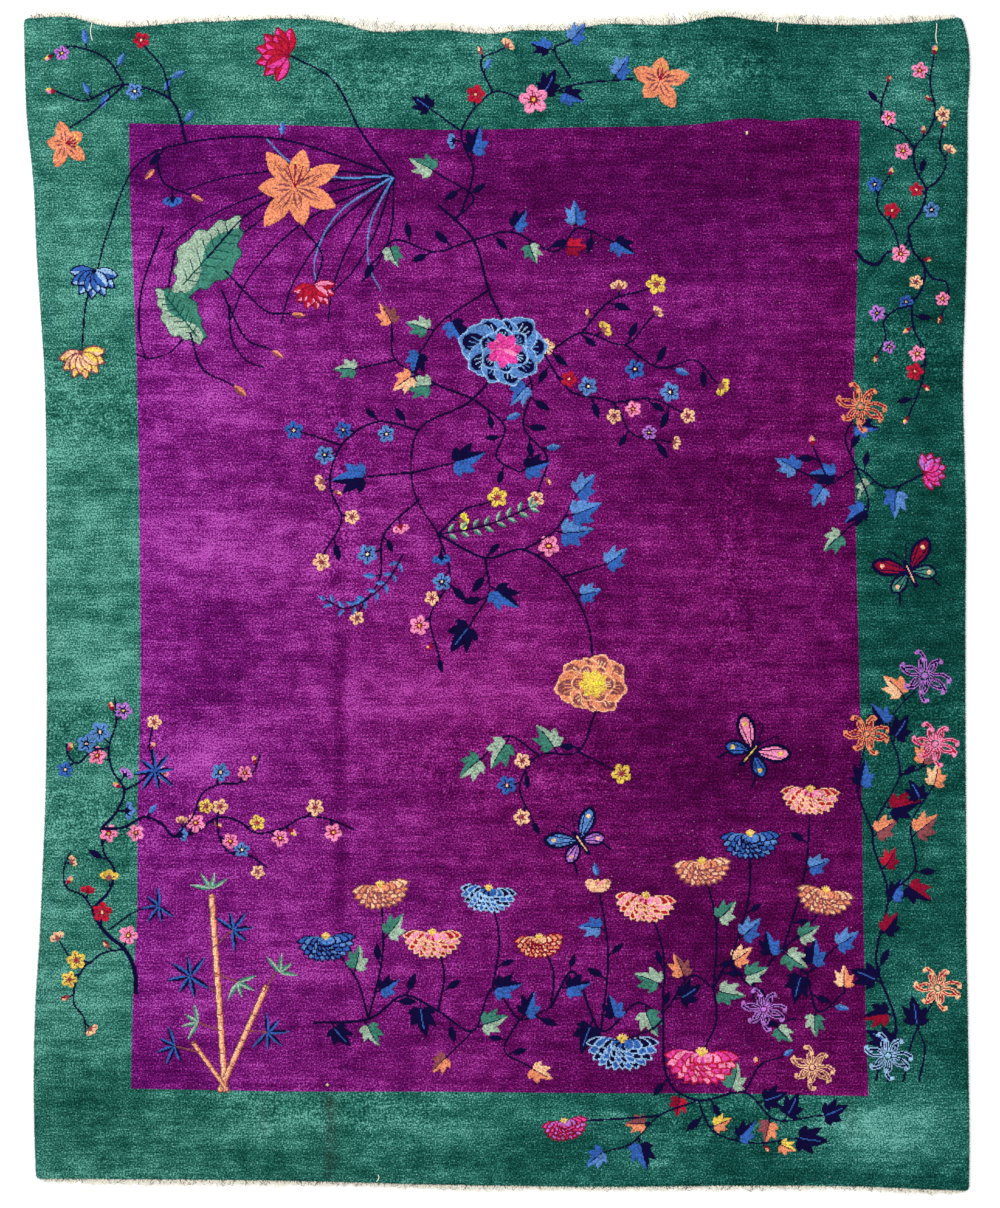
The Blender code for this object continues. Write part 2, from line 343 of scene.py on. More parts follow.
# Wool tufts are 2.8 mm apart, about one pixel of the render, so the speckle of their
# shaded tips is drawn at one and a half times that.
TUFT_SPECKLE = 4.0 * MM
ROW_STREAK_LENGTH = 90.0 * MM
ROW_STREAK_HEIGHT = 5.5 * MM
BAND_LENGTH = 420.0 * MM
BAND_HEIGHT = 34.0 * MM
MOTTLE = 45.0 * MM
DRIFT_LENGTH = 520.0 * MM
DRIFT_HEIGHT = 240.0 * MM
WORN_KNOT_SPACING = 26.0 * MM
WORN_KNOT_SHARE = 0.055
FRINGE_GRIME_AND_SHADE = 5.0 * MM
YARN_TWIST = 1.5 * MM
TUFT_RELIEF = 1.6 * MM
YARN_RELIEF = 0.25 * MM
PAINTED_SHEEN_WEIGHT = 0.23
DARK_MARK_COLOUR = "#292523"
WOOL_IOR = 1.55
WOOL_ROUGHNESS = 0.95
PILE_SPECULAR = 0.03
FIBRE_SHEEN = 0.12
SHEEN_ROUGHNESS = 0.5
RELIEF_STRENGTH = 0.6
WORN_KNOT_PALENESS = 0.45
DARK_GRAIN = 0.55
LIGHT_GRAIN = 1.3
WEFT_RIBS = 60.0
WEFT_WAVER = 1.5
DARK_RIB = "#5d4a55"
LIGHT_RIB = "#b9a996"
PLUM_GLOW = "#a030a0"
GREEN_GLOW = "#3a9080"
COTTON_GLOW = "#fffaf0"

# Colours of a mix node by socket number: its sockets for numbers have the same names
MIX_FIRST = 6
MIX_SECOND = 7
MIX_RESULT = 2

# Tips of the tufts, single knot rows, bands of one day's knotting, nap of the pile, old wear
Grain = namedtuple("Grain", "sizes detail roughness")
PILE_GRAINS = (
    Grain((TUFT_SPECKLE, TUFT_SPECKLE, TUFT_SPECKLE), 1.0, 0.6),
    Grain((ROW_STREAK_LENGTH, ROW_STREAK_HEIGHT, 1.0), 3.0, 0.65),
    Grain((BAND_LENGTH, BAND_HEIGHT, 1.0), 3.0, 0.6),
    Grain((MOTTLE, MOTTLE, MOTTLE), 4.0, 0.6),
    Grain((DRIFT_LENGTH, DRIFT_HEIGHT, 1.0), 3.0, 0.5),
)
PILE_WEIGHTS = (1.9, 0.7, 0.5, 0.7, 0.45)
SPRAY_WEIGHTS = (1.5, 0.4, 0.0, 0.5, 0.0)

# Twist of the yarn, and grime and painted shade between its strands
YARN_GRAINS = (
    Grain((YARN_TWIST, YARN_TWIST, YARN_TWIST), 1.0, 0.5),
    Grain((FRINGE_GRIME_AND_SHADE, FRINGE_GRIME_AND_SHADE, FRINGE_GRIME_AND_SHADE), 3.0, 0.7),
)
YARN_WEIGHTS = (0.5, 1.0)


def grained(tree, grains, weights):
    """Sum of grains about a half, the height of the finest one, and where they are read."""
    places = add_node(tree, "ShaderNodeTexCoord").outputs["Object"]
    total = 0.5 - sum(weights) / 2
    heights = []
    for grain, weight in zip(grains, weights):
        scaled = add_node(tree, "ShaderNodeMapping", inputs={
            "Vector": places, "Scale": tuple(1 / size for size in grain.sizes),
        }).outputs["Vector"]
        heights.append(add_node(tree, "ShaderNodeTexNoise", inputs={
            "Vector": scaled, "Scale": 1.0, "Detail": grain.detail, "Roughness": grain.roughness,
        }).outputs["Fac"])
        total = add_node(tree, "ShaderNodeMath", {"operation": "MULTIPLY_ADD"}, {
            0: heights[-1], 1: weight, 2: total,
        }).outputs["Value"]
    return total, heights[0], places


def fibre_shader(tree, colour, tips, glow, relief):
    """Matt fibre: its scales scatter light, with a faint glow of its own dye at low angles."""
    bump = add_node(tree, "ShaderNodeBump", inputs={
        "Strength": RELIEF_STRENGTH, "Distance": relief, "Height": tips,
    }).outputs["Normal"]
    return add_node(tree, "ShaderNodeBsdfPrincipled", inputs={
        "Base Color": colour, "Roughness": WOOL_ROUGHNESS, "IOR": WOOL_IOR,
        "Specular IOR Level": PILE_SPECULAR, "Sheen Weight": FIBRE_SHEEN,
        "Sheen Roughness": SHEEN_ROUGHNESS, "Sheen Tint": linear(glow), "Normal": bump,
    })


def clipped_ground_wool(name, shade_stops, daylight_stops, worn, glow):
    """Clipped wool of the field or the border, knotted in rows and sheared level.

    It gives the eye a dense speckle, fine level streaks, painted sheen and painted shade in soft clouds
    where the pile leans, a painted cool daylight tone on the side that faces the window, small pale dots
    where knots have worn, and narrow dark marks near the bottom end.
    """
    material, tree = new_material(name)
    grain, tips, places = grained(tree, PILE_GRAINS, PILE_WEIGHTS)
    # Painted sheen and painted shade from the pile's lean, kept on the pile's points, lighten or darken
    # the tone
    painted_sheen = add_node(tree, "ShaderNodeAttribute", {"attribute_name": "painted_pile_sheen"}).outputs["Fac"]
    tone = add_node(tree, "ShaderNodeMath", {"operation": "MULTIPLY_ADD"}, {
        0: painted_sheen, 1: PAINTED_SHEEN_WEIGHT, 2: grain,
    }).outputs["Value"]
    ramps = []
    for stops in (shade_stops, daylight_stops):
        ramp = add_node(tree, "ShaderNodeValToRGB", inputs={"Fac": tone})
        set_ramp(ramp, stops)
        ramps.append(ramp.outputs["Color"])
    # Painted daylight: mix from the ramp of painted shade to the cooler ramp of painted daylight
    painted_daylight_share = add_node(tree, "ShaderNodeAttribute", {"attribute_name": "daylight"}).outputs["Fac"]
    dye_with_painted_light = add_node(tree, "ShaderNodeMix", {"data_type": "RGBA"}, {
        "Factor": painted_daylight_share, MIX_FIRST: ramps[0], MIX_SECOND: ramps[1],
    }).outputs[MIX_RESULT]
    dots = add_node(tree, "ShaderNodeTexVoronoi", inputs={
        "Vector": places, "Scale": 1 / WORN_KNOT_SPACING,
    })
    bare = add_node(tree, "ShaderNodeMath", {"operation": "LESS_THAN"}, {
        0: dots.outputs["Distance"], 1: WORN_KNOT_SHARE,
    }).outputs["Value"]
    bare = add_node(tree, "ShaderNodeMath", {"operation": "MULTIPLY"}, {
        0: bare, 1: WORN_KNOT_PALENESS,
    }).outputs["Value"]
    colour = add_node(tree, "ShaderNodeMix", {"data_type": "RGBA"}, {
        "Factor": bare, MIX_FIRST: dye_with_painted_light, MIX_SECOND: linear(worn),
    }).outputs[MIX_RESULT]
    # Narrow dark marks near the bottom end, mixed in from the pile's points
    dark_marks = add_node(tree, "ShaderNodeAttribute", {"attribute_name": "dark_marks"}).outputs["Fac"]
    marked_colour = add_node(tree, "ShaderNodeMix", {"data_type": "RGBA"}, {
        "Factor": dark_marks, MIX_FIRST: colour, MIX_SECOND: linear(DARK_MARK_COLOUR),
    }).outputs[MIX_RESULT]
    finish_material(tree, fibre_shader(tree, marked_colour, tips, glow, TUFT_RELIEF))
    return material


def clipped_spray_wool(name, colour):
    """Clipped wool of a spray: one dye with the same speckle of tuft tips as the ground."""
    material, tree = new_material(name)
    tone, tips, _ = grained(tree, PILE_GRAINS, SPRAY_WEIGHTS)
    ramp = add_node(tree, "ShaderNodeValToRGB", inputs={"Fac": tone})
    dark, light = shaded(colour, DARK_GRAIN), shaded(colour, LIGHT_GRAIN)
    set_ramp(ramp, ((0.1, dark), (0.5, colour), (0.9, light)))
    finish_material(tree, fibre_shader(tree, ramp.outputs["Color"], tips, colour, TUFT_RELIEF))
    return material


def woven_back():
    """Cotton warp and weft of the underside, beaten close: level ribs of off-white and wool."""
    material, tree = new_material("woven_cotton_back")
    places = add_node(tree, "ShaderNodeTexCoord").outputs["Object"]
    ribs = add_node(tree, "ShaderNodeTexWave", {"bands_direction": "Y"}, {
        "Vector": places, "Scale": WEFT_RIBS, "Distortion": WEFT_WAVER, "Detail": 2.0,
    }).outputs["Fac"]
    ramp = add_node(tree, "ShaderNodeValToRGB", inputs={"Fac": ribs})
    set_ramp(ramp, ((0.0, DARK_RIB), (1.0, LIGHT_RIB)))
    finish_material(tree, fibre_shader(tree, ramp.outputs["Color"], ribs, LIGHT_RIB, YARN_RELIEF))
    return material


def frayed_cotton(name, grime_and_shade_stops):
    """Undyed cotton warp, spun and left to fray: warm off-white strands with dark specks, partly grime
    and partly painted shade between the strands.
    """
    material, tree = new_material(name)
    grime_and_shade, twist, _ = grained(tree, YARN_GRAINS, YARN_WEIGHTS)
    ramp = add_node(tree, "ShaderNodeValToRGB", inputs={"Fac": grime_and_shade})
    set_ramp(ramp, grime_and_shade_stops)
    finish_material(tree, fibre_shader(tree, ramp.outputs["Color"], twist, COTTON_GLOW, YARN_RELIEF))
    return material


def studio_floor():
    """Pale matt painted floor, with hardly any tone of its own."""
    material, tree = new_material("painted_floor")
    places = add_node(tree, "ShaderNodeTexCoord").outputs["Object"]
    drift = add_node(tree, "ShaderNodeTexNoise", inputs={
        "Vector": places, "Scale": 0.8,
    }).outputs["Fac"]
    ramp = add_node(tree, "ShaderNodeValToRGB", inputs={"Fac": drift})
    set_ramp(ramp, ((0.0, "#fbfbfa"), (1.0, "#ffffff")))
    shader = add_node(tree, "ShaderNodeBsdfPrincipled", inputs={
        "Base Color": ramp.outputs["Color"], "Roughness": 0.8, "Specular IOR Level": 0.2,
    })
    finish_material(tree, shader)
    return material


# Pieces

def placed(points):
    """Places in the tables' millimetres, as points of the scene in metres."""
    return ((points + [*OFFSET, 0]) * MM).tolist()


def add_piece(name, vertices, faces, materials, indices=None):
    """A mesh piece from points in metres, its faces and the material of each face."""
    mesh = bpy.data.meshes.new(name)
    mesh.from_pydata(vertices, [], faces)
    for material in materials:
        mesh.materials.append(material)
    if indices is not None:
        mesh.polygons.foreach_set("material_index", np.asarray(indices, np.int32))
    mesh.shade_smooth()
    piece = bpy.data.objects.new(name, mesh)
    bpy.context.scene.collection.objects.link(piece)
    return piece


def map_from_above(piece):
    """A texture map that looks straight down on the piece."""
    mesh = piece.data
    places = np.empty(len(mesh.vertices) * 3)
    mesh.vertices.foreach_get("co", places)
    flat = places.reshape(-1, 3)[:, :2]
    low = flat.min(0)
    size = np.ptp(flat, axis=0)
    corners = np.empty(len(mesh.loops), np.int32)
    mesh.loops.foreach_get("vertex_index", corners)
    layer = mesh.uv_layers.new(name="OFBake")
    layer.uv.foreach_set("vector", ((flat - low) / size)[corners].astype(np.float32).ravel())


def make_pile(field_wool, border_wool, back):
    """The carpet itself: clipped pile on top, rounded at the rim, woven back underneath."""
    columns = grid_places(CUT_WIDTH, BORDER_LEFT, BORDER_RIGHT)
    rows = grid_places(CUT_LENGTH, BORDER_BOTTOM, BORDER_TOP)
    across, along = np.meshgrid(columns, rows)
    x, y = on_carpet(*round_corners(across, along))
    inset = np.minimum(
        np.minimum(across, CUT_WIDTH - across), np.minimum(along, CUT_LENGTH - along),
    )
    fullness = np.sqrt(1 - (1 - np.minimum(inset, RIM_WIDTH) / RIM_WIDTH) ** 2)
    chance = np.random.default_rng(PILE_SEED)
    tufts = chance.uniform(-1, 1, x.shape)
    soft = softened(chance.uniform(-1, 1, x.shape), SOFTENINGS) * SOFT_GAIN
    unevenness = (1 - ROW_EVENNESS) * softened(tufts, ROW_SOFTENINGS) * ROW_GAIN
    knot_rows = chance.uniform(-1, 1, (len(rows), 1)) * (ROW_EVENNESS + unevenness)
    lumps = TUFT_LUMPS * tufts + SOFT_LUMPS * soft + ROW_LUMPS * knot_rows
    full_height = PILE_HEIGHT + patches_at(SWELLS, x, y) + lumps
    z = FOUNDATION_HEIGHT + (full_height - FOUNDATION_HEIGHT) * fullness
    count = x.size
    top = np.stack([x, y, z], -1).reshape(-1, 3)
    number = np.arange(count).reshape(x.shape)
    quads = np.stack([number[:-1, :-1], number[:-1, 1:], number[1:, 1:], number[1:, :-1]], -1)
    ring = np.concatenate([number[0, :-1], number[:-1, -1], number[-1, :0:-1], number[:0:-1, 0]])
    hem = np.arange(count, count + len(ring))
    hem_points = np.column_stack([top[ring, :2], np.zeros(len(ring))])
    wall = np.stack([hem, np.roll(hem, -1), np.roll(ring, -1), ring], -1)
    centre_u = (across[:-1, :-1] + across[1:, 1:]) / 2
    centre_v = (along[:-1, :-1] + along[1:, 1:]) / 2
    in_field = (BORDER_LEFT < centre_u) & (centre_u < CUT_WIDTH - BORDER_RIGHT)
    in_field &= (BORDER_BOTTOM < centre_v) & (centre_v < CUT_LENGTH - BORDER_TOP)
    indices = np.concatenate([np.where(in_field, 0, 1).ravel(), np.ones(len(ring)), [2]])
    faces = [*quads.reshape(-1, 4).tolist(), *wall.tolist(), hem[::-1].tolist()]
    piece = add_piece(
        "clipped_wool_pile", placed(np.concatenate([top, hem_points])), faces,
        [field_wool, border_wool, back], indices,
    )
    # Painted sheen and painted shade: clouds, crease lines, and lighter towards the left
    painted_sheen = patches_at(PAINTED_SHEEN_CLOUDS, x, y) + PAINTED_SHEEN_ACROSS * x / (CUT_WIDTH / 2)
    # Painted cool daylight, strongest to the left
    daylight = np.clip(DAYLIGHT_MIDDLE - x / DAYLIGHT_REACH + patches_at(PAINTED_DAYLIGHT_PLACES, x, y), 0, 1)
    # Narrow dark marks near the bottom end
    dark_marks = np.clip(patches_at(DARK_MARK_PLACES, x, y), 0, 1)
    for name, values in (("painted_pile_sheen", painted_sheen), ("daylight", daylight), ("dark_marks", dark_marks)):
        values = np.concatenate([values.ravel(), values.ravel()[ring]]).astype(np.float32)
        piece.data.attributes.new(name, "FLOAT", "POINT").data.foreach_set("value", values)
    map_from_above(piece)
    return piece


# The chart of the sprays

KNOT = 2.8
CHART_WIDTH = 2460.0
CHART_LENGTH = 3040.0
chart = np.full((round(CHART_LENGTH / KNOT), round(CHART_WIDTH / KNOT)), -1, np.int16)
spray_of = np.full(chart.shape, -1, np.int16)
spray_names = []


def start_spray(name):
    spray_names.append(name)


def knot(rows, columns, mask, wool):
    """Tie one wool where the mask holds."""
    chart[rows, columns][mask] = WOOL_NAMES.index(wool)
    spray_of[rows, columns][mask] = len(spray_names) - 1


def window(x, y, turn, reach):
    """Part of the chart round a place, with each knot's place along and across a direction."""
    first_row = max(0, int((y - reach + CHART_LENGTH / 2) / KNOT))
    last_row = min(chart.shape[0], int((y + reach + CHART_LENGTH / 2) / KNOT) + 1)
    first_column = max(0, int((x - reach + CHART_WIDTH / 2) / KNOT))
    last_column = min(chart.shape[1], int((x + reach + CHART_WIDTH / 2) / KNOT) + 1)
    rows = slice(first_row, last_row)
    columns = slice(first_column, last_column)
    dy = (np.arange(first_row, last_row) + 0.5)[:, None] * KNOT - CHART_LENGTH / 2 - y
    dx = (np.arange(first_column, last_column) + 0.5)[None, :] * KNOT - CHART_WIDTH / 2 - x
    u, v = turned(dx + 0 * dy, dy + 0 * dx, turn)
    return rows, columns, u, v


def turned(u, v, angle):
    """Places measured along and across a direction at this angle."""
    return u * math.cos(angle) + v * math.sin(angle), v * math.cos(angle) - u * math.sin(angle)


def toward(x, y, angle, distance):
    return x + distance * math.cos(angle), y + distance * math.sin(angle)


def petal_mask(u, v, length, width, fullness=1.0, skew=1.0):
    """A petal from the origin along u: wider and blunter for a lower fullness, skewed to its tip."""
    share = np.clip(u / length, 0, 1)
    half = width / 2 * np.sin(np.pi * share ** skew) ** fullness
    return (u > 0) & (u < length) & (np.abs(v) < half)


def disc(x, y, radius, wool):
    rows, columns, u, v = window(x, y, 0.0, radius + KNOT)
    knot(rows, columns, u * u + v * v < radius * radius, wool)


def petal(x, y, turn, length, width, wool, shade=None, fullness=1.0, skew=1.0):
    """One petal, in two wools along its midrib where a shade is given."""
    rows, columns, u, v = window(x, y, turn, length + KNOT)
    mask = petal_mask(u, v, length, width, fullness, skew)
    knot(rows, columns, mask, wool)
    if shade:
        knot(rows, columns, mask & (v < 0), shade)


def smooth_run(points, spacing=1.2):
    """Places along a smooth curve through the points."""
    ends = [2 * np.array(points[0]) - points[1], *points, 2 * np.array(points[-1]) - points[-2]]
    ends = np.array([np.asarray(p, float) for p in ends])
    places = []
    for a, b, c, d in zip(ends, ends[1:], ends[2:], ends[3:]):
        count = max(2, int(np.linalg.norm(c - b) / spacing))
        t = np.linspace(0, 1, count, endpoint=False)[:, None]
        places.append(
            0.5 * (2 * b + (c - a) * t + (2 * a - 5 * b + 4 * c - d) * t ** 2
                   + (3 * b - a - 3 * c + d) * t ** 3)
        )
    return np.concatenate([*places, ends[-2:-1]])


def stroke(points, width, wool, end_width=None):
    """A stem or line of knots, which may taper to another width at its end."""
    places = smooth_run(points)
    widths = np.linspace(width, width if end_width is None else end_width, len(places))
    span = int(max(widths) / 2 / KNOT) + 2
    steps = np.arange(-span, span + 1)
    row = np.floor((places[:, 1] + CHART_LENGTH / 2) / KNOT).astype(int)
    column = np.floor((places[:, 0] + CHART_WIDTH / 2) / KNOT).astype(int)
    rows = row[:, None, None] + steps[None, :, None] + 0 * steps[None, None, :]
    columns = column[:, None, None] + steps[None, None, :] + 0 * steps[None, :, None]
    dy = (rows + 0.5) * KNOT - CHART_LENGTH / 2 - places[:, 1][:, None, None]
    dx = (columns + 0.5) * KNOT - CHART_WIDTH / 2 - places[:, 0][:, None, None]
    near = np.hypot(dx, dy) < np.maximum(widths / 2, THINNEST_LINE)[:, None, None]
    near &= (rows >= 0) & (rows < chart.shape[0]) & (columns >= 0) & (columns < chart.shape[1])
    chart[rows[near], columns[near]] = WOOL_NAMES.index(wool)
    spray_of[rows[near], columns[near]] = len(spray_names) - 1


# Flowers and leaves

STEM = 7.0
TWIG = 5.4
STALK = 4.2
BLADE = 5.8
BLADE_TIP = 3.4
THINNEST_LINE = 0.55 * KNOT
FERN_START = 20
FERN_STEP = 26
GLOSS = 2.4
HOOKED_PETAL = 7.5
BAMBOO_LEAF_SPREAD = 0.8
PLUM_FOOT = 12.0
PLUM_LIMB = 10.0
PLUM_BRANCH = 6.5

# Lobes of a leaf: angle to its midrib, and length and width as shares of its length
LEAF_LOBES = (
    (0.0, 1.0, 0.42), (0.62, 0.8, 0.34), (-0.7, 0.72, 0.34), (1.35, 0.52, 0.3), (-1.45, 0.5, 0.3),
)

# Tiers of petals, from the outside in: how many, how far they fan out, and how far they reach
HEAD_TIERS = ((13, 1.5, 1.0), (10, 1.42, 0.79), (8, 1.25, 0.58), (5, 0.95, 0.38))
LOTUS_TIERS = ((7, 1.45, 0.62), (4, 0.75, 0.5))

# Rings of a peony's petals: how many, how far they reach, and their turn in steps of a petal
PEONY_RINGS = ((9, 0.53, 0.0), (6, 0.34, 0.5))

# Wool of the petals, of the heart and of the edge
BLOSSOM_KINDS = {
    "pink": ("pink", "gold", "crimson"),
    "red": ("red", "peach", "crimson"),
    "peach": ("peach", "crimson", "brown"),
    "blue": ("mid_blue", "cream", "navy"),
    "navy": ("blue", "peach", "navy"),
    "gold": ("gold", "red", "brown"),
    "lilac": ("lilac", "gold", "navy"),
    "yellow": ("yellow", "leaf_green", "brown"),
}

# Wools of the two halves of a leaf
LEAF_KINDS = {
    "navy": ("navy", "blue"),
    "blue": ("mid_blue", "blue"),
    "green": ("leaf_green", "sage"),
    "sage": ("sage", "leaf_green"),
    "orange": ("orange", "brown"),
    "peach": ("peach", "orange"),
    "red": ("red", "crimson"),
    "plum": ("crimson", "navy"),
    "dark": ("navy", "navy"),
    "gold": ("gold", "orange"),
}

# Wools of the petals of a head, light and dark, and of its outline
HEAD_KINDS = {
    "pink": ("pink", "hot_pink", "red"),
    "rose": ("pink", "red", "peach"),
    "blue": ("blue", "navy", "sky"),
    "sky": ("mid_blue", "blue", "navy"),
    "orange": ("orange", "peach", "brown"),
    "peach": ("peach", "orange", "crimson"),
    "magenta": ("lilac", "hot_pink", "crimson"),
}


def blossom(x, y, size, turn, kind):
    """An open plum blossom: five round petals that stand apart round a dark heart."""
    wool, heart, edge = BLOSSOM_KINDS[kind]
    for k in range(5):
        middle = toward(x, y, turn + TAU * k / 5, 0.31 * size)
        disc(*middle, 0.18 * size, wool)
        stroke([(x, y), middle], GLOSS, edge)
    disc(x, y, 0.14 * size, edge)
    disc(x, y, 0.065 * size, heart)


def half_open(x, y, size, turn, kind):
    """A blossom from the side: three round petals over a dark cup."""
    wool, _, edge = BLOSSOM_KINDS[kind]
    for spread in (-0.8, 0.8, 0.0):
        middle = toward(x, y, turn + spread, 0.36 * size)
        disc(*middle, 0.18 * size, wool)
        stroke([(x, y), middle], GLOSS, edge)
    petal(x, y, turn, 0.3 * size, 0.26 * size, edge, fullness=0.6)


HALF_OPEN_SHARE = 0.3


def bloom_on_stalk(x, y, size, turn, kind):
    """A blossom at the end of its stalk, open or half open by chance."""
    if growth.random() < HALF_OPEN_SHARE:
        half_open(x, y, size, turn, kind)
    else:
        blossom(*toward(x, y, turn, 0.34 * size), size, turn, kind)


def bud(x, y, size, turn, kind):
    """A closed bud on a dark cup, facing along its twig."""
    wool, heart, edge = BLOSSOM_KINDS[kind]
    petal(*toward(x, y, turn, 0.2 * size), turn, 0.8 * size, 0.55 * size, wool, heart, 0.6)
    petal(x, y, turn, 0.5 * size, 0.5 * size, edge, fullness=0.6)


def leaf(x, y, length, turn, kind):
    """A lobed leaf from its stalk, one wool on each side of the midrib, with a bent tip."""
    light, dark = LEAF_KINDS[kind]
    rows, columns, u, v = window(x, y, turn, 1.2 * length)
    v = v - 0.12 * length * np.clip(u / length, 0, 1) ** 2
    mask = np.zeros(u.shape, bool)
    for angle, reach, width in LEAF_LOBES:
        mask |= petal_mask(*turned(u, v, angle), reach * length, width * length, 0.9, 0.8)
    knot(rows, columns, mask & (v >= 0), light)
    knot(rows, columns, mask & (v < 0), dark)
    vein = (np.abs(v) < 0.5 * KNOT) & (u < 0.7 * length) & mask
    knot(rows, columns, vein, "navy" if light != "navy" else "blue")


def slim_leaf(x, y, length, turn, kind):
    """A plain pointed leaf in two shades."""
    light, dark = LEAF_KINDS[kind]
    petal(x, y, turn, length, 0.42 * length, light, dark, 0.85, 0.85)


def fern(points, kind, size):
    """A twig with small pointed leaves in pairs."""
    stroke(points, STALK, "navy")
    places = smooth_run(points)
    for k in range(FERN_START, len(places) - 2, FERN_STEP):
        step = places[k + 1] - places[k - 1]
        turn = math.atan2(step[1], step[0])
        for side in (-0.8, 0.8):
            slim_leaf(*toward(*places[k], turn + side, 4.0), size, turn + side, kind)
    slim_leaf(*places[-1], size, turn, kind)


def fan_head(x, y, size, turn, kind):
    """A chrysanthemum seen from the side: tiers of outlined petals in a flat fan over its heart."""
    light, dark, edge = HEAD_KINDS[kind]
    for tier, (count, spread, reach) in enumerate(HEAD_TIERS):
        for k in range(count):
            angle = -spread + 2 * spread * k / (count - 1)
            length = size * reach * (0.42 + 0.11 * abs(math.sin(angle)))
            width = 1.6 * size * reach / count + 4.0
            wool = light if (k + tier) % 2 else dark
            petal(x, y, turn + angle, length + 3.0, width + 3.0, edge, fullness=0.85, skew=1.55)
            petal(x, y, turn + angle, length - 2.4, width - 1.5, wool, fullness=0.85, skew=1.55)
    for k in range(5):
        way = turn + math.pi + 0.5 * (k - 2)
        petal(x, y, way, 0.1 * size, 0.05 * size, ("gold", "peach")[k % 2], fullness=0.6)
    disc(x, y, 0.04 * size, "gold")


def spider_head(x, y, size, turn, light, dark):
    """A chrysanthemum seen from above: thin petals that hook over at their tips."""
    for k in range(13):
        way = turn + TAU * k / 13
        bend = 0.6 if k % 2 else -0.6
        reach = size * (0.52, 0.34, 0.44)[k % 3]
        root = toward(x, y, way, 0.12 * size)
        middle = toward(x, y, way, 0.62 * reach)
        tip = toward(*middle, way + bend, 0.36 * reach)
        hook = toward(*tip, way + 3 * bend, 0.07 * size)
        stroke([root, middle, tip, hook], HOOKED_PETAL, light, end_width=HOOKED_PETAL + 3)
        stroke([root, middle, tip], GLOSS, dark, end_width=HOOKED_PETAL - 2)
    disc(x, y, 0.06 * size, light)


def lobed_petal(x, y, way, length, width, wool):
    """A broad petal whose end has three points."""
    for spread, reach in ((-0.26, 0.9), (0.26, 0.9), (0.0, 1.0)):
        petal(x, y, way + spread, reach * length, width, wool, fullness=0.7, skew=1.5)


def peony(x, y, size, turn, kind, heart):
    """A full peony: two rings of lobed petals with thin rims, round its heart."""
    light, dark, rim = kind
    for count, reach, shift in PEONY_RINGS:
        for k in range(count):
            way = turn + TAU * (k + shift) / count
            length = size * reach * (0.88 + 0.12 * math.cos(2 * way)) * (0.93, 1.0, 0.88)[k % 3]
            width = 1.7 * length / math.sqrt(count)
            lobed_petal(x, y, way, length, width, rim)
            lobed_petal(x, y, way, length - 3.4, width - 3.4, light)
            inside = toward(x, y, way, 0.3 * length)
            petal(*inside, way, 0.6 * length, 0.7 * width, dark, fullness=0.45, skew=1.3)
            for spread in (-0.25, 0.0, 0.25):
                vein_end = toward(*inside, way + spread, 0.46 * length)
                stroke([inside, vein_end], GLOSS, rim if k % 2 else light)
    for k in range(7):
        petal(x, y, turn + TAU * k / 7, 0.2 * size, 0.12 * size, heart[0], fullness=0.7)
        petal(x, y, turn + TAU * k / 7 + 0.45, 0.15 * size, 0.05 * size, heart[1], fullness=0.5)


def lily(x, y, size, turn, light, dark, count=6):
    """A star lily: pointed petals with a dark throat and long stamens."""
    for k in range(count):
        reach = (0.55, 0.43, 0.5, 0.4)[k % 4]
        way = turn + TAU * k / count
        petal(x, y, way, size * reach, 1.5 * size / count, light, fullness=0.85, skew=1.1)
        petal(*toward(x, y, way, 3.0), way, size * reach * 0.62, 0.62 * size / count, dark, fullness=0.8)
        for side in (-0.08, 0.0, 0.08):
            stroke([(x, y), toward(x, y, way + side, size * reach * 0.8)], GLOSS, light)
    for k in range(4):
        tip = toward(x, y, turn + 0.4 + 0.35 * k, 0.27 * size)
        stroke([(x, y), tip], GLOSS, "crimson")
        disc(*tip, 2.8, "gold")


def lotus(x, y, size, turn, light, dark, edge):
    """A lotus that opens upward: pointed petals fanned in two tiers."""
    for count, spread, reach in LOTUS_TIERS:
        for k in range(count):
            way = turn - spread + 2 * spread * k / (count - 1)
            length = size * reach * (0.85 + 0.15 * math.cos(way - turn))
            petal(x, y, way, length, 0.27 * size, edge, fullness=0.7)
            petal(*toward(x, y, way, 3.0), way, length - 8.0, 0.27 * size - 7.0, light, dark, 0.7)
    disc(x, y, 0.05 * size, edge)


def pond_leaf(x, y, size, turn):
    """A great folded lotus leaf: scalloped rim, one side sage, the folded side green, dark ribs."""
    rows, columns, u, v = window(x, y, turn, 0.7 * size)
    around = np.arctan2(v * 1.8, u)
    radius = np.hypot(u, v * 1.8)
    rim = size * (0.45 + 0.03 * np.sin(11 * around) + 0.045 * np.sin(4 * around + 1))
    fold = v > 0.09 * size * np.sin(u / size * 7 + 0.6)
    knot(rows, columns, radius < rim, "bottle")
    knot(rows, columns, (radius < rim - 3.5) & fold, "sage")
    knot(rows, columns, (radius < rim - 3.5) & ~fold, "leaf_green")
    ends = [toward(x, y, turn + math.pi, 0.36 * size), (x, y), toward(x, y, turn, 0.36 * size)]
    stroke(ends, STALK, "bottle")
    for k in range(-3, 4):
        root = toward(x, y, turn, 0.1 * k * size)
        for side in (1.0, -1.0):
            stroke([root, toward(*root, turn + side, (0.17 - 0.02 * abs(k)) * size)], GLOSS, "bottle")


def grass(x, y, length, turn, bend, wool):
    """A long blade that arches over to one side."""
    middle = toward(x, y, turn, 0.45 * length)
    far = toward(*middle, turn + bend, 0.35 * length)
    tip = toward(*far, turn + 2.2 * bend, 0.25 * length)
    stroke([(x, y), middle, far, tip], BLADE, wool, end_width=BLADE_TIP)


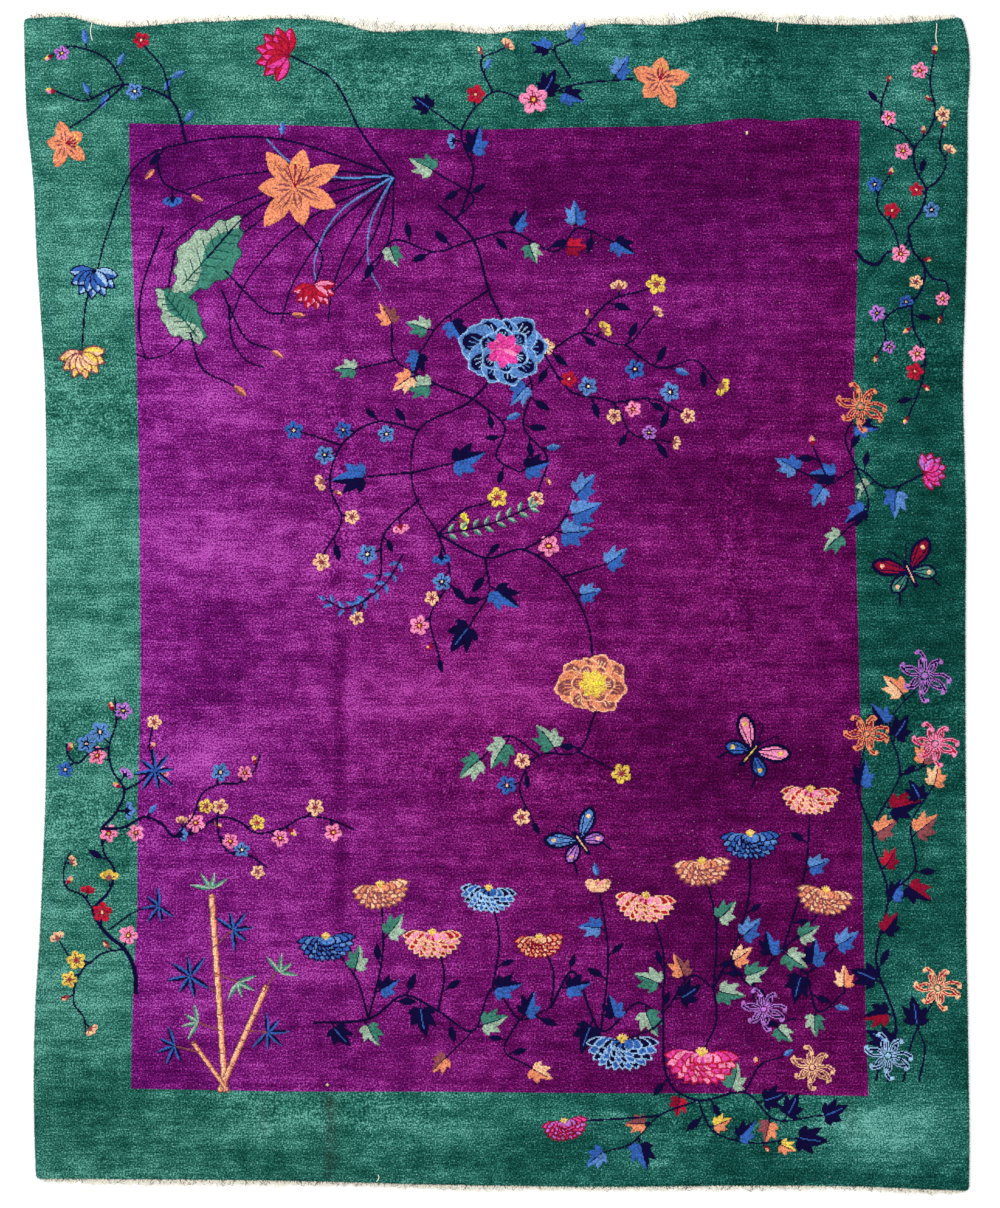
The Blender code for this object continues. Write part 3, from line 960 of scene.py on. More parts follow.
def bamboo(x, y, height, turn, joints, width):
    """A bamboo culm with its joints, in peach wool with brown joint lines and one darker side."""
    for k in range(joints):
        foot = toward(x, y, turn, height * k / joints)
        head = toward(x, y, turn, height * (k + 1) / joints - 2.0)
        stroke([foot, head], width, "brown")
        stroke([foot, head], width - 5.0, "orange")
        across = turn + TAU / 4
        stroke([toward(*foot, across, 2.0), toward(*head, across, 2.0)], width - 9.0, "peach")
        joint = [toward(*head, across, width / 2), toward(*head, turn - TAU / 4, width / 2)]
        stroke(joint, STALK, "brown")


def bamboo_leaves(x, y, length, turn, kind, count=5):
    for k in range(count):
        way = turn + (k - (count - 1) / 2) * BAMBOO_LEAF_SPREAD
        petal(x, y, way, length * (1.0, 0.8, 0.92)[k % 3], 0.2 * length, *LEAF_KINDS[kind], 0.9, 0.8)


def butterfly(x, y, size, turn, wing, under, spot):
    """A butterfly from above: two pairs of veined wings with tails, body and feelers."""
    for side in (1, -1):
        for way, reach, width, wool in ((0.95, 0.62, 0.3, wing), (2.05, 0.44, 0.26, under)):
            way = turn + side * way
            petal(x, y, way, reach * size, width * size, "navy", fullness=0.6, skew=1.5)
            root = toward(x, y, way, 0.05 * size)
            length = reach * size * 0.82
            petal(*root, way, length, width * size * 0.66, wool, fullness=0.6, skew=1.5)
            for spread in (-0.16, 0.16):
                stroke([(x, y), toward(x, y, way + spread, 0.8 * reach * size)], GLOSS, "navy")
            disc(*toward(x, y, way, 0.72 * reach * size), 0.035 * size, spot)
        tail = toward(x, y, turn + side * 2.3, 0.4 * size)
        stroke([tail, toward(*tail, turn + side * 2.8, 0.16 * size)], TWIG, "navy")
        tip = toward(x, y, turn + side * 0.3, 0.42 * size)
        curl = toward(*tip, turn + side * 1.4, 0.08 * size)
        stroke([toward(x, y, turn, 0.1 * size), tip, curl], GLOSS, "navy")
    back = turn + math.pi
    stroke([toward(x, y, turn, 0.16 * size), toward(x, y, back, 0.26 * size)], 0.08 * size, "navy")
    stroke([toward(x, y, turn, 0.1 * size), toward(x, y, back, 0.2 * size)], GLOSS, spot)


# What each sign along a twig stands for: its shape, its wools and its usual length
SIGNS = {
    "n": (leaf, "navy", 62),
    "b": (leaf, "blue", 60),
    "g": (leaf, "green", 62),
    "s": (leaf, "sage", 58),
    "o": (leaf, "orange", 60),
    "p": (leaf, "peach", 58),
    "r": (leaf, "red", 54),
    "m": (leaf, "plum", 68),
    "d": (leaf, "dark", 66),
    "y": (leaf, "gold", 48),
    "N": (slim_leaf, "dark", 42),
    "B": (slim_leaf, "blue", 38),
    "O": (slim_leaf, "orange", 42),
    "1": (bloom_on_stalk, "pink", 52),
    "2": (bloom_on_stalk, "red", 48),
    "3": (bloom_on_stalk, "peach", 45),
    "4": (bloom_on_stalk, "blue", 51),
    "5": (bloom_on_stalk, "navy", 50),
    "6": (bloom_on_stalk, "gold", 51),
    "7": (bloom_on_stalk, "lilac", 46),
    "8": (bloom_on_stalk, "yellow", 48),
    "i": (bud, "pink", 24),
    "j": (bud, "peach", 24),
    "k": (bud, "red", 22),
}
growth = random.Random(8)
taken = []


def find_room(x, y, way, length, sides):
    """The first of a few directions in which a leaf or blossom keeps clear of others."""
    for side in sides:
        spot = toward(x, y, way + side, 0.8 * length)
        if all(math.dist(spot, (x0, y0)) > 0.8 * (r + 0.5 * length) for x0, y0, r in taken):
            taken.append((*spot, 0.5 * length))
            return way + side
    return None


def twig(points, signs="", width=TWIG, size=1.0):
    """A stem with what grows on it, in order from its root, the last of it at its tip."""
    stroke(points, width, "navy", end_width=STALK)
    places = smooth_run(points)
    for k, sign in enumerate(signs):
        if sign == ".":
            continue
        i = min(len(places) - 2, round((k + 1) / len(signs) * (len(places) - 1)))
        step = places[i + 1] - places[i - 1]
        way = math.atan2(step[1], step[0])
        shape, kind, length = SIGNS[sign]
        length = length * size * growth.uniform(0.82, 1.12)
        side = (1 if k % 2 else -1) * growth.uniform(0.6, 1.25)
        sides = (side, -side, 0.5 * side) if k < len(signs) - 1 else (0.0, side, -side)
        way = find_room(*places[i], way, length, sides)
        if way is None:
            continue
        stalk = toward(*places[i], way, 0.3 * length + 3.0)
        stroke([places[i], stalk], STALK, "navy")
        shape(*stalk, length, way + growth.uniform(-0.35, 0.35), kind)


def kinked(points, reach=11.0):
    """The same run with a small bend in the middle of each step, as plum wood grows."""
    bent = [points[0]]
    for k, (start, end) in enumerate(zip(points, points[1:])):
        along = math.atan2(end[1] - start[1], end[0] - start[0])
        middle = ((start[0] + end[0]) / 2, (start[1] + end[1]) / 2)
        bent += [toward(*middle, along + TAU / 4, reach if k % 2 else -reach), end]
    return bent


def plum_twig(points, signs, width=TWIG, size=0.9):
    """A crooked twig of plum, whose blossoms are a little smaller."""
    twig(kinked(points), signs, width, size)


# Where the stems and grasses of the corner spray grow from
CLUMP = (-265, 1095)


def draw_corner_spray():
    """Lotus, lilies and long grasses that cross from the green corner into the field."""
    start_spray("corner_lotus_and_lilies")
    taken.extend(((-745, 885, 110), (-815, 735, 75), (-520, 1065, 115), (-540, 1405, 60)))
    for turn, length, bend in (
        (176, 520, 0.16), (186, 600, 0.24), (196, 640, 0.34), (207, 560, 0.3),
        (220, 470, 0.26), (236, 400, 0.2), (252, 330, -0.2), (268, 280, -0.3),
    ):
        grass(*CLUMP, length, math.radians(turn), bend, "navy")
    for turn, length, bend in ((181, 340, -0.35), (214, 380, 0.5), (244, 300, 0.4)):
        grass(*CLUMP, length, math.radians(turn), bend, "mid_blue")
    for x, y, turn, length, bend in (
        (-860, 960, 250, 330, 0.25), (-830, 900, 262, 250, 0.5),
        (-790, 700, 230, 160, -0.5), (-690, 760, 275, 190, 0.5),
    ):
        grass(x, y, length, math.radians(turn), bend, "navy")
    twig([CLUMP, (-350, 1210), (-420, 1340), (-530, 1405)], "", STEM)
    twig([
        CLUMP, (-560, 1190), (-800, 1180), (-930, 1120), (-1000, 960), (-1035, 830),
    ], "..B..N...B")
    twig([(-1035, 850), (-1060, 760), (-1070, 640)])
    twig([
        (-800, 1178), (-840, 1290), (-960, 1330), (-1060, 1290), (-1130, 1310),
    ], "B.B4.BB.i", STEM)
    twig([(-960, 1330), (-1010, 1400), (-1100, 1430), (-1140, 1410)], "B.B7i")
    twig([(-960, 1330), (-1040, 1260), (-1100, 1220)])
    twig([(-840, 1290), (-860, 1370), (-900, 1420)], "B.2")
    twig([(-880, 1160), (-860, 1080), (-800, 1050)], "O.5O")
    pond_leaf(-745, 885, 265, math.radians(48))
    pond_leaf(-815, 735, 185, math.radians(128))
    twig([(-745, 885), (-650, 990), (-560, 1045)])
    twig([(-700, 850), (-600, 750), (-540, 740)], "..O")
    twig([(-790, 690), (-760, 600), (-690, 560)], "..O")
    twig([(-710, 800), (-650, 680), (-590, 650)], "..O")
    lotus(-540, 1405, 135, math.radians(165), "hot_pink", "red", "crimson")
    lily(-520, 1065, 235, 0.45, "orange", "brown", 7)
    twig([(-500, 960), (-450, 890), (-470, 810)])
    lotus(-472, 812, 105, math.radians(-80), "pink", "red", "crimson")
    lily(-1112, 1178, 120, -0.7, "orange", "brown", 5)
    lotus(-1038, 850, 120, math.radians(-95), "sky", "blue", "navy")
    lotus(-1070, 640, 115, math.radians(-80), "gold", "peach", "brown")


def draw_top_sprig():
    """A small sprig in the top border that hangs into the field."""
    start_spray("top_border_sprig")
    twig([
        (-90, 1000), (-60, 1110), (-90, 1210), (-10, 1310), (90, 1290), (200, 1330), (350, 1345),
    ], "N.n4.2...dn..b.")
    twig([(-10, 1310), (-40, 1390), (10, 1420)], "Bj3")
    twig([(-90, 1210), (-160, 1260)], ".d")
    twig([(190, 1350), (150, 1420), (180, 1440)], ".nb", TWIG, 0.8)
    blossom(96, 1292, 78, 0.5, "pink")
    lily(420, 1340, 145, 0.2, "orange", "brown", 5)


def draw_centre_spray():
    """The long hanging spray of the field: two peonies, blossoms, many leaves and fine twigs."""
    start_spray("centre_peony_spray")
    taken.extend(((20, 645, 115), (250, -215, 95)))
    twig([
        (-150, 1020), (-60, 930), (-20, 800), (30, 660), (-60, 520), (-200, 440), (-215, 290),
        (-150, 170),
    ], "", STEM)
    twig([
        (-150, 170), (-30, 110), (70, 130), (170, 60), (235, -60), (250, -190),
    ], ".N.1.b.N.", STEM)
    twig([(-60, 930), (40, 950), (150, 900), (210, 960), (290, 930)], "NnsNrbNn")
    twig([(-60, 930), (-160, 900), (-260, 930), (-310, 880)], "NNNgN")
    twig([(-110, 980), (-60, 1040), (-150, 1100)], "gNs")
    twig([(-20, 800), (-140, 720), (-190, 650)], ".ngn")
    twig([(20, 690), (120, 640), (220, 690), (330, 660), (400, 730)], "N3N.N6.N.3")
    twig([(220, 690), (290, 770), (380, 800)], "j.N3.6")
    twig([(330, 660), (420, 600), (510, 620), (560, 570)], "5NB.N6")
    twig([(120, 640), (190, 540), (300, 510), (350, 430), (440, 410)], "N2.4N.3.N7N3")
    twig([(300, 510), (400, 520), (470, 490)], "1.N4N3")
    twig([(30, 660), (90, 560), (70, 450), (130, 370), (110, 290)], "N.bN.NNB.j3")
    twig([(-60, 520), (20, 450), (0, 370), (60, 330)], "NBN.Nn")
    twig([(-60, 520), (-160, 560), (-260, 620), (-270, 700)], ".gp..o")
    twig([(-260, 620), (-350, 600)], ".g")
    twig([
        (-200, 440), (-310, 460), (-400, 400), (-430, 300), (-400, 210), (-440, 130),
    ], "N4N.5.4.3j.3.N3")
    twig([(-400, 400), (-490, 430)], "..5")
    twig([(-215, 330), (-320, 320)], ".n", TWIG, 1.3)
    twig([(-215, 330), (-130, 350)], ".n", TWIG, 1.3)
    twig([(-200, 260), (-290, 170), (-300, 60), (-350, -20)], ".1.N4.B.B3")
    twig([(-150, 170), (-90, 230), (-30, 250)], "8.6")
    fern([(-150, 170), (-40, 190), (30, 215), (85, 240)], "sage", 26)
    fern([(-240, 120), (-290, 40), (-380, -20), (-440, 0)], "blue", 24)
    twig([(-150, 170), (-120, 60), (-170, -40), (-150, -140)], "5.4N3.1.kN")
    twig([(-30, 110), (-20, 20), (-60, -50)], "NnN.d", TWIG, 1.15)
    twig([(70, 130), (150, 180), (200, 260)], ".bbb", TWIG, 1.2)
    twig([(170, 60), (270, 90)], ".b", TWIG, 1.1)
    twig([(255, -290), (210, -390), (110, -400), (60, -480), (90, -560)], "..N.g.3N5.3N")
    twig([(110, -400), (30, -350), (-30, -400)], ".g.s", TWIG, 1.1)
    twig([(210, -390), (290, -430)], ".6")
    peony(20, 645, 235, 0.1, ("mid_blue", "navy", "sky"), ("hot_pink", "pink"))
    peony(250, -215, 195, 0.5, ("orange", "brown", "peach"), ("gold", "yellow"))


def draw_right_plum():
    """A crooked plum branch down the right border."""
    start_spray("right_plum_branch")
    plum_twig([(928, 900), (985, 868), (1040, 905), (1062, 960)], "", PLUM_LIMB)
    plum_twig([
        (1062, 960), (1108, 1060), (1078, 1165), (1132, 1265), (1128, 1400),
    ], "..4..2..N..1...i..3..k...1..i", PLUM_BRANCH)
    plum_twig([
        (1062, 960), (1104, 860), (1072, 760), (1105, 640), (1065, 480),
    ], "..1..k..3...5..N.i..1...2..k..N..i", PLUM_BRANCH)
    plum_twig([(1108, 1060), (1160, 1130), (1150, 1210)], "..3.i")
    plum_twig([(1078, 1165), (1000, 1230), (1008, 1330)], "..1..N.k")
    plum_twig([(1040, 905), (985, 1010), (1010, 1090)], "..2..5.i")
    plum_twig([(1104, 860), (1160, 820), (1150, 740)], "..1.k")
    plum_twig([(1072, 760), (1000, 720), (985, 640)], "..7..7.i")


def draw_right_sprig():
    """A sprig and a butterfly where the field meets the right border."""
    start_spray("right_sprig_and_butterfly")
    twig([(1110, 330), (1010, 290), (930, 340), (860, 300), (790, 330)], ".b.gN.nb.b")
    twig([(930, 340), (900, 420), (935, 490)], "N.n.")
    twig([(930, 340), (960, 240), (900, 180)], ".n.g")
    twig([(860, 300), (820, 390)], ".Ni")
    spider_head(940, 500, 125, 0.2, "orange", "crimson")
    lotus(1105, 330, 95, math.radians(15), "lilac", "hot_pink", "crimson")
    butterfly(1065, 75, 160, math.radians(115), "crimson", "leaf_green", "peach")


def draw_right_mums():
    """Spider chrysanthemums and dark leaves that climb the right border."""
    start_spray("right_spider_chrysanthemums")
    twig([
        (1010, -1240), (1030, -1090), (980, -930), (1010, -760), (970, -600), (1040, -450),
        (1015, -320), (1085, -225),
    ], ".d.m.dN.m.n.r.o.m.N.dn.p.", STEM)
    twig([(1010, -760), (1080, -690), (1070, -580), (1120, -490)], "mN.o.dp")
    twig([(1040, -450), (1100, -430), (1130, -390)], "o.")
    twig([(970, -600), (930, -480), (950, -380)], "n.")
    twig([(1050, -1240), (1075, -1130), (1130, -1030)], ".")
    twig([(980, -1238), (985, -1215), (1000, -1190)], ".")
    twig([(1090, -1240), (1105, -1160), (1090, -1110)], ".d")
    spider_head(1105, -195, 130, 0.1, "lilac", "navy")
    spider_head(955, -345, 110, 0.5, "orange", "crimson")
    spider_head(1132, -370, 115, 0.3, "pink", "red")
    spider_head(1010, -1175, 120, 0.2, "sky", "navy")
    spider_head(1138, -1000, 115, 0.4, "peach", "red")


HeadRow = namedtuple("HeadRow", "root_x root_y across along size turn kind signs")
BED_HEADS = table(HeadRow, (
    (-330, -1080, -440, -870, 140, 275, "sky", "gN"),
    (-330, -1080, -300, -735, 140, 280, "orange", "nNg.N"),
    (-150, -1060, -165, -860, 140, 270, "rose", "Nb.N"),
    (-10, -1000, -20, -745, 135, 264, "blue", "N.pN."),
    (140, -1050, 110, -870, 120, 275, "peach", "nN."),
    (270, -1110, 262, -725, 60, 270, "rose", "oNNb.B"),
    (430, -1080, 325, -1135, 175, 270, "blue", ""),
    (430, -1050, 385, -765, 145, 265, "rose", "gN.dN."),
    (560, -1000, 530, -675, 140, 275, "orange", "N.g.N."),
    (600, -940, 655, -605, 145, 272, "sky", "bN.sN"),
    (740, -900, 810, -490, 140, 268, "rose", "N.bNo."),
    (740, -900, 850, -750, 140, 260, "orange", "gN.b."),
    (560, -1000, 530, -1170, 180, 268, "pink", ""),
    (420, -1330, 175, -1345, 110, 280, "magenta", ""),
))


def draw_chrysanthemum_bed():
    """The bed of fan chrysanthemums over the lower right of the field."""
    start_spray("chrysanthemum_bed")
    taken.extend((row.across, row.along - 0.2 * row.size, 0.45 * row.size) for row in BED_HEADS)
    twig([
        (-470, -1090), (-330, -1080), (-240, -1020), (-150, -1060), (-60, -1110), (-10, -1000),
        (60, -1080), (140, -1050),
    ], "d.g.NNd.N.g.n..nN.", STEM)
    twig([
        (140, -1050), (200, -960), (270, -1110), (360, -1040), (430, -1060), (500, -970),
        (560, -1000),
    ], "nNg.dNn.gNdo.s", STEM)
    twig([
        (560, -1000), (600, -940), (660, -990), (740, -900), (800, -960), (870, -900),
    ], "NpgN.nsNdn.b", STEM)
    twig([(660, -990), (680, -1090), (770, -1080)], ".Ns.")
    twig([(800, -960), (830, -1060), (900, -1010)], "NgBp")
    twig([
        (430, -1060), (440, -1230), (520, -1290), (640, -1270), (720, -1340), (830, -1330),
    ], ".b.Nr.Ng.dod.d", STEM)
    twig([(520, -1290), (560, -1370), (660, -1400), (760, -1390)], "Ny.n.kyd")
    twig([(640, -1270), (680, -1200), (730, -1180)], ".i.B")
    twig([(520, -1290), (420, -1330), (350, -1400), (290, -1420)], "N.on.b")
    twig([(60, -1080), (20, -1160), (80, -1200)], "NNp")
    twig([(-60, -1110), (-120, -1170)], ".o")
    for row in BED_HEADS:
        root = (row.root_x, row.root_y)
        head = (row.across, row.along)
        middle = ((root[0] + head[0]) / 2 + 22, (root[1] + head[1]) / 2)
        twig([root, middle, head], row.signs)
    for row in BED_HEADS:
        fan_head(row.across, row.along, row.size, math.radians(row.turn), row.kind)
    spider_head(690, -1055, 110, 0.3, "lilac", "navy")
    spider_head(815, -1205, 110, 0.1, "peach", "brown")


def draw_left_plum():
    """A plum branch that leaves the left border and reaches into the field."""
    start_spray("left_plum_branch")
    plum_twig([
        (-930, -1010), (-960, -900), (-1040, -800), (-985, -700), (-1020, -590),
    ], "..1.2..6.N1.", PLUM_FOOT, 1.0)
    plum_twig([
        (-1020, -590), (-960, -490), (-1000, -380), (-985, -250),
    ], "..4..i7..1.4..7k..", STEM, 1.0)
    plum_twig([
        (-1020, -590), (-910, -560), (-830, -610), (-720, -560), (-620, -600), (-500, -560),
        (-370, -590),
    ], "..1..B...4.1..j3...6..1.i..3..1...", STEM, 0.95)
    plum_twig([(-830, -610), (-760, -500), (-660, -470), (-610, -400)], "3.6..4.1.i.")
    plum_twig([(-720, -560), (-690, -650), (-590, -690)], ".1.4..3.")
    plum_twig([(-960, -490), (-880, -420), (-890, -340)], "..1.i.3")
    plum_twig([(-1040, -800), (-1110, -740), (-1100, -650)], "2.i.3.")
    plum_twig([(-960, -900), (-1060, -940), (-1120, -890)], "j.6i.3")
    plum_twig([(-1060, -940), (-1090, -1040), (-1060, -1120)], "6.j..3.")
    plum_twig([(-1000, -380), (-1080, -420), (-1110, -370)], "4..5i.")
    bamboo_leaves(-880, -440, 62, math.radians(120), "navy", 8)
    stroke([(-1000, -850), (-930, -802), (-870, -790)], STALK, "navy")
    bamboo_leaves(-870, -790, 54, math.radians(210), "navy", 6)


def draw_bamboo():
    """Bamboo in the lower left corner of the field, with clusters of leaves."""
    start_spray("bamboo_clump")
    bamboo(-700, -1262, 500, math.radians(94), 5, 17)
    bamboo(-712, -1262, 290, math.radians(66), 4, 16)
    bamboo(-695, -1262, 150, math.radians(126), 2, 13)
    for x, y, end_x, end_y in (
        (-734, -900, -680, -850), (-724, -1010, -790, -970), (-730, -960, -668, -985),
        (-645, -1110, -590, -1115), (-600, -1010, -570, -960), (-770, -1165, -830, -1150),
        (-712, -1110, -770, -1090),
    ):
        stroke([(x, y), (end_x, end_y)], STALK, "brown")
    for x, y, length, turn, kind, count in (
        (-680, -850, 60, 30, "navy", 6), (-790, -970, 64, 190, "navy", 7),
        (-668, -985, 54, -50, "green", 4), (-590, -1115, 58, -20, "navy", 6),
        (-560, -960, 54, 60, "green", 4), (-830, -1150, 56, 200, "navy", 5),
        (-770, -1090, 52, 170, "green", 4), (-737, -745, 54, 100, "green", 4),
    ):
        bamboo_leaves(x, y, length, math.radians(turn), kind, count)


REPAIRED_KNOT = 3.6


def draw_butterflies():
    """Two butterflies over the bed, and two pale repaired knots."""
    start_spray("field_butterflies")
    disc(646, 1206, REPAIRED_KNOT, "cream")
    disc(-436, -1250, REPAIRED_KNOT, "cream")
    butterfly(660, -390, 165, math.radians(50), "pink", "blue", "gold")
    butterfly(215, -620, 150, math.radians(125), "mid_blue", "lilac", "peach")


EDGE_RISE = 0.45
INNER_RISE = 0.75
SEAM_DIP = 0.3
SKIRT_DEPTH = 1.5
UNEVEN_SHEARING = 0.12
FIRST_SPRAY_SEED = 100


def make_spray(number, name, wools):
    """Relief of one spray: a tuft for each knot, lower along seams, its sides let into the pile."""
    filled = np.pad(spray_of == number, 1)
    wool = np.pad(chart, 1, constant_values=-1)
    wool[~filled] = -1
    rows, columns = np.nonzero(filled)
    low_row, low_column = rows.min() - 1, columns.min() - 1
    box = (slice(low_row, rows.max() + 2), slice(low_column, columns.max() + 2))
    filled, wool = filled[box], wool[box]
    corners = np.stack([wool[:-1, :-1], wool[:-1, 1:], wool[1:, :-1], wool[1:, 1:]])
    touched = (corners >= 0).any(0)
    inner = (corners >= 0).all(0)
    seam = inner & (corners != corners[0]).any(0)
    number_of = np.full(touched.shape, -1)
    number_of[touched] = np.arange(touched.sum())
    at_row, at_column = np.nonzero(touched)
    x = (at_column + low_column) * KNOT - CHART_WIDTH / 2
    y = (at_row + low_row) * KNOT - CHART_LENGTH / 2
    chance = np.random.default_rng(FIRST_SPRAY_SEED + number)
    rise = EDGE_RISE + INNER_RISE * inner[touched] - SEAM_DIP * seam[touched]
    rise = rise + chance.uniform(-UNEVEN_SHEARING, UNEVEN_SHEARING, len(x))
    base = PILE_HEIGHT + patches_at(SWELLS, x, y) + TUFT_LUMPS
    cell_row, cell_column = np.nonzero(filled[1:-1, 1:-1])
    faces = np.stack([
        number_of[cell_row + up, cell_column + right]
        for up, right in ((0, 0), (0, 1), (1, 1), (1, 0))
    ], -1)
    indices = wool[1:-1, 1:-1][cell_row, cell_column]
    beside = ((-1, 0, 0, 1), (0, 1, 1, 2), (1, 0, 2, 3), (0, -1, 3, 0))
    skirts = []
    skirt_indices = []
    for down, right, start, end in beside:
        open_side = ~filled[cell_row + 1 + down, cell_column + 1 + right]
        skirts.append(faces[open_side][:, [start, end]])
        skirt_indices.append(indices[open_side])
    edges = np.concatenate(skirts)
    used = np.unique(edges)
    below = np.full(len(x), -1)
    below[used] = len(x) + np.arange(len(used))
    walls = np.stack([edges[:, 1], edges[:, 0], below[edges[:, 0]], below[edges[:, 1]]], -1)
    top = np.stack([x, y, base + rise], -1)
    foot = np.stack([x[used], y[used], base[used] - SKIRT_DEPTH], -1)
    in_use, indices = np.unique(np.concatenate([indices, *skirt_indices]), return_inverse=True)
    piece = add_piece(
        name, placed(np.concatenate([top, foot])), np.concatenate([faces, walls]).tolist(),
        [wools[WOOL_NAMES[k]] for k in in_use], indices,
    )
    map_from_above(piece)
    return piece


# Fringes

YARN_SIDES = 3
YARN_POINTS = 9
YARN_FLATNESS = 0.5
YARN_RADIUS = 0.95
YARN_COUNT = 1900
YARN_CURL = 5.0
YARN_LEAN = 0.45
YARN_ROOT = 2.0
YARN_LENGTHS = (0.5, 1.15)
YARN_CURLS = (0.3, 1.0)
YARN_WAVES = (0.6, 1.5)
YARN_HOOKS = (0.0, 0.55)
YARN_THICKNESSES = (0.8, 1.2)
YARN_LIFT = 4.5
YARN_ARCH = 2.5
# Reach of the dark yarns, which are partly dark warp ends and partly painted shade in the fringe's gaps
DARK_AND_SHADE_REACH = 0.72
LOWEST_YARN = 0.1

# The web in section: how far it lies in front of the pile's edge, and its height there
WEB_PROFILE = (
    (-3.0, 2.2), (0.0, 2.6), (1.5, 2.0), (3.0, 2.5), (4.5, 1.8), (6.0, 1.9), (6.6, 0.1),
)
WEB_PITCH = 3.0
WEB_WANDER = 0.4
WEB_LUMPS = 0.3
WEB_SEED = 4
STRAY_SEED = 9
STRAY_HEIGHT = 1.0
STRAY_BOW = 3.0
STRAY_RADIUS = 1.2

# Pulled warp threads: where each starts, its length, and its direction in degrees
Thread = namedtuple("Thread", "across along length turn")
STRAY_THREADS = table(Thread, (
    (-1045, 1490, 46, -88), (722, 1497, 30, -80), (1133, 1488, 52, -84), (-307, -1500, 18, 85),
))


def tubes(paths, radii):
    """Three-sided tubes along many paths at once: points and faces."""
    paths = np.asarray(paths)
    count, length, _ = paths.shape
    steps = np.gradient(paths, axis=1)
    steps /= np.linalg.norm(steps, axis=2, keepdims=True) + 1e-9
    up = np.array([0.0, 0.0, 1.0])
    side = np.cross(steps, up)
    side /= np.linalg.norm(side, axis=2, keepdims=True) + 1e-9
    lift = np.cross(side, steps)
    angles = TAU * np.arange(YARN_SIDES) / YARN_SIDES + TAU / 4
    rings = paths[:, :, None] + radii[:, :, None, None] * (
        np.cos(angles)[None, None, :, None] * side[:, :, None]
        + YARN_FLATNESS * np.sin(angles)[None, None, :, None] * lift[:, :, None]
    )
    first = (np.arange(count)[:, None] * length + np.arange(length)[None, :]) * YARN_SIDES
    faces = []
    for k in range(YARN_SIDES):
        after = (k + 1) % YARN_SIDES
        near, far = first[:, :-1], first[:, 1:]
        faces.append(np.stack([near + k, near + after, far + after, far + k], -1).reshape(-1, 4))
    ends = [
        np.stack([first[:, 0] + k for k in reversed(range(YARN_SIDES))], -1),
        np.stack([first[:, -1] + k for k in range(YARN_SIDES)], -1),
    ]
    return rings.reshape(-1, 3), [*np.concatenate(faces).tolist(), *np.concatenate(ends).tolist()]


def make_fringe(name, end_rows, outward, cottons, seed, dark_and_shade_share):
    """Frayed warp ends in front of a narrow web, lying on the floor in short loose curls."""
    chance = np.random.default_rng(seed)
    low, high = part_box("fringe_top" if outward > 0 else "fringe_bottom")
    x = chance.uniform(low[0] / MM + 1, high[0] / MM - 1, YARN_COUNT)
    x = np.sort(x) - OFFSET[0]
    edge = through(end_rows, "across", "pile", x)
    reach = np.abs(through(end_rows, "across", "fringe", x) - edge)
    length = reach * chance.uniform(*YARN_LENGTHS, YARN_COUNT) + YARN_ROOT
    lean = chance.normal(0, YARN_LEAN, YARN_COUNT)
    t = np.linspace(0, 1, YARN_POINTS)[None, :]
    phase = chance.uniform(0, TAU, (YARN_COUNT, 1))
    waves = chance.uniform(*YARN_WAVES, (YARN_COUNT, 1))
    swing = YARN_CURL * chance.uniform(*YARN_CURLS, (YARN_COUNT, 1))
    swing = swing * (np.sin(phase + TAU * waves * t) - np.sin(phase))
    side = x[:, None] + lean[:, None] * length[:, None] * t + swing * t
    hook = chance.uniform(*YARN_HOOKS, (YARN_COUNT, 1))
    ahead = (length[:, None] + YARN_ROOT) * (t - hook * t ** 3) * (1 - 0.12 * np.cos(phase) * t)
    ahead = ahead - YARN_ROOT
    # Some yarns are dark and shorter: partly dark warp ends, partly painted shade in the gaps of the
    # fringe
    dark_and_shade = chance.uniform(0, 1, YARN_COUNT) < dark_and_shade_share
    ahead = ahead * np.where(dark_and_shade, DARK_AND_SHADE_REACH, 1.0)[:, None]
    arch = YARN_ARCH * chance.uniform(0, 1, (YARN_COUNT, 1)) * np.abs(np.sin(phase + 3 * t))
    height = 1.0 + YARN_LIFT * (1 - t) ** 2 + arch
    side = np.clip(side, low[0] / MM - 4 - OFFSET[0], high[0] / MM + 4 - OFFSET[0])
    paths = np.stack([side, edge[:, None] + outward * ahead, height], -1)
    radii = YARN_RADIUS * (1 - 0.35 * t) * chance.uniform(*YARN_THICKNESSES, (YARN_COUNT, 1))
    points, faces = tubes(paths, radii)
    points[:, 2] = np.maximum(points[:, 2], LOWEST_YARN)
    round_yarn = np.tile(np.repeat(dark_and_shade, YARN_POINTS - 1), YARN_SIDES)
    indices = np.concatenate([round_yarn, dark_and_shade, dark_and_shade])
    return add_piece(name, placed(points), faces, cottons, indices)


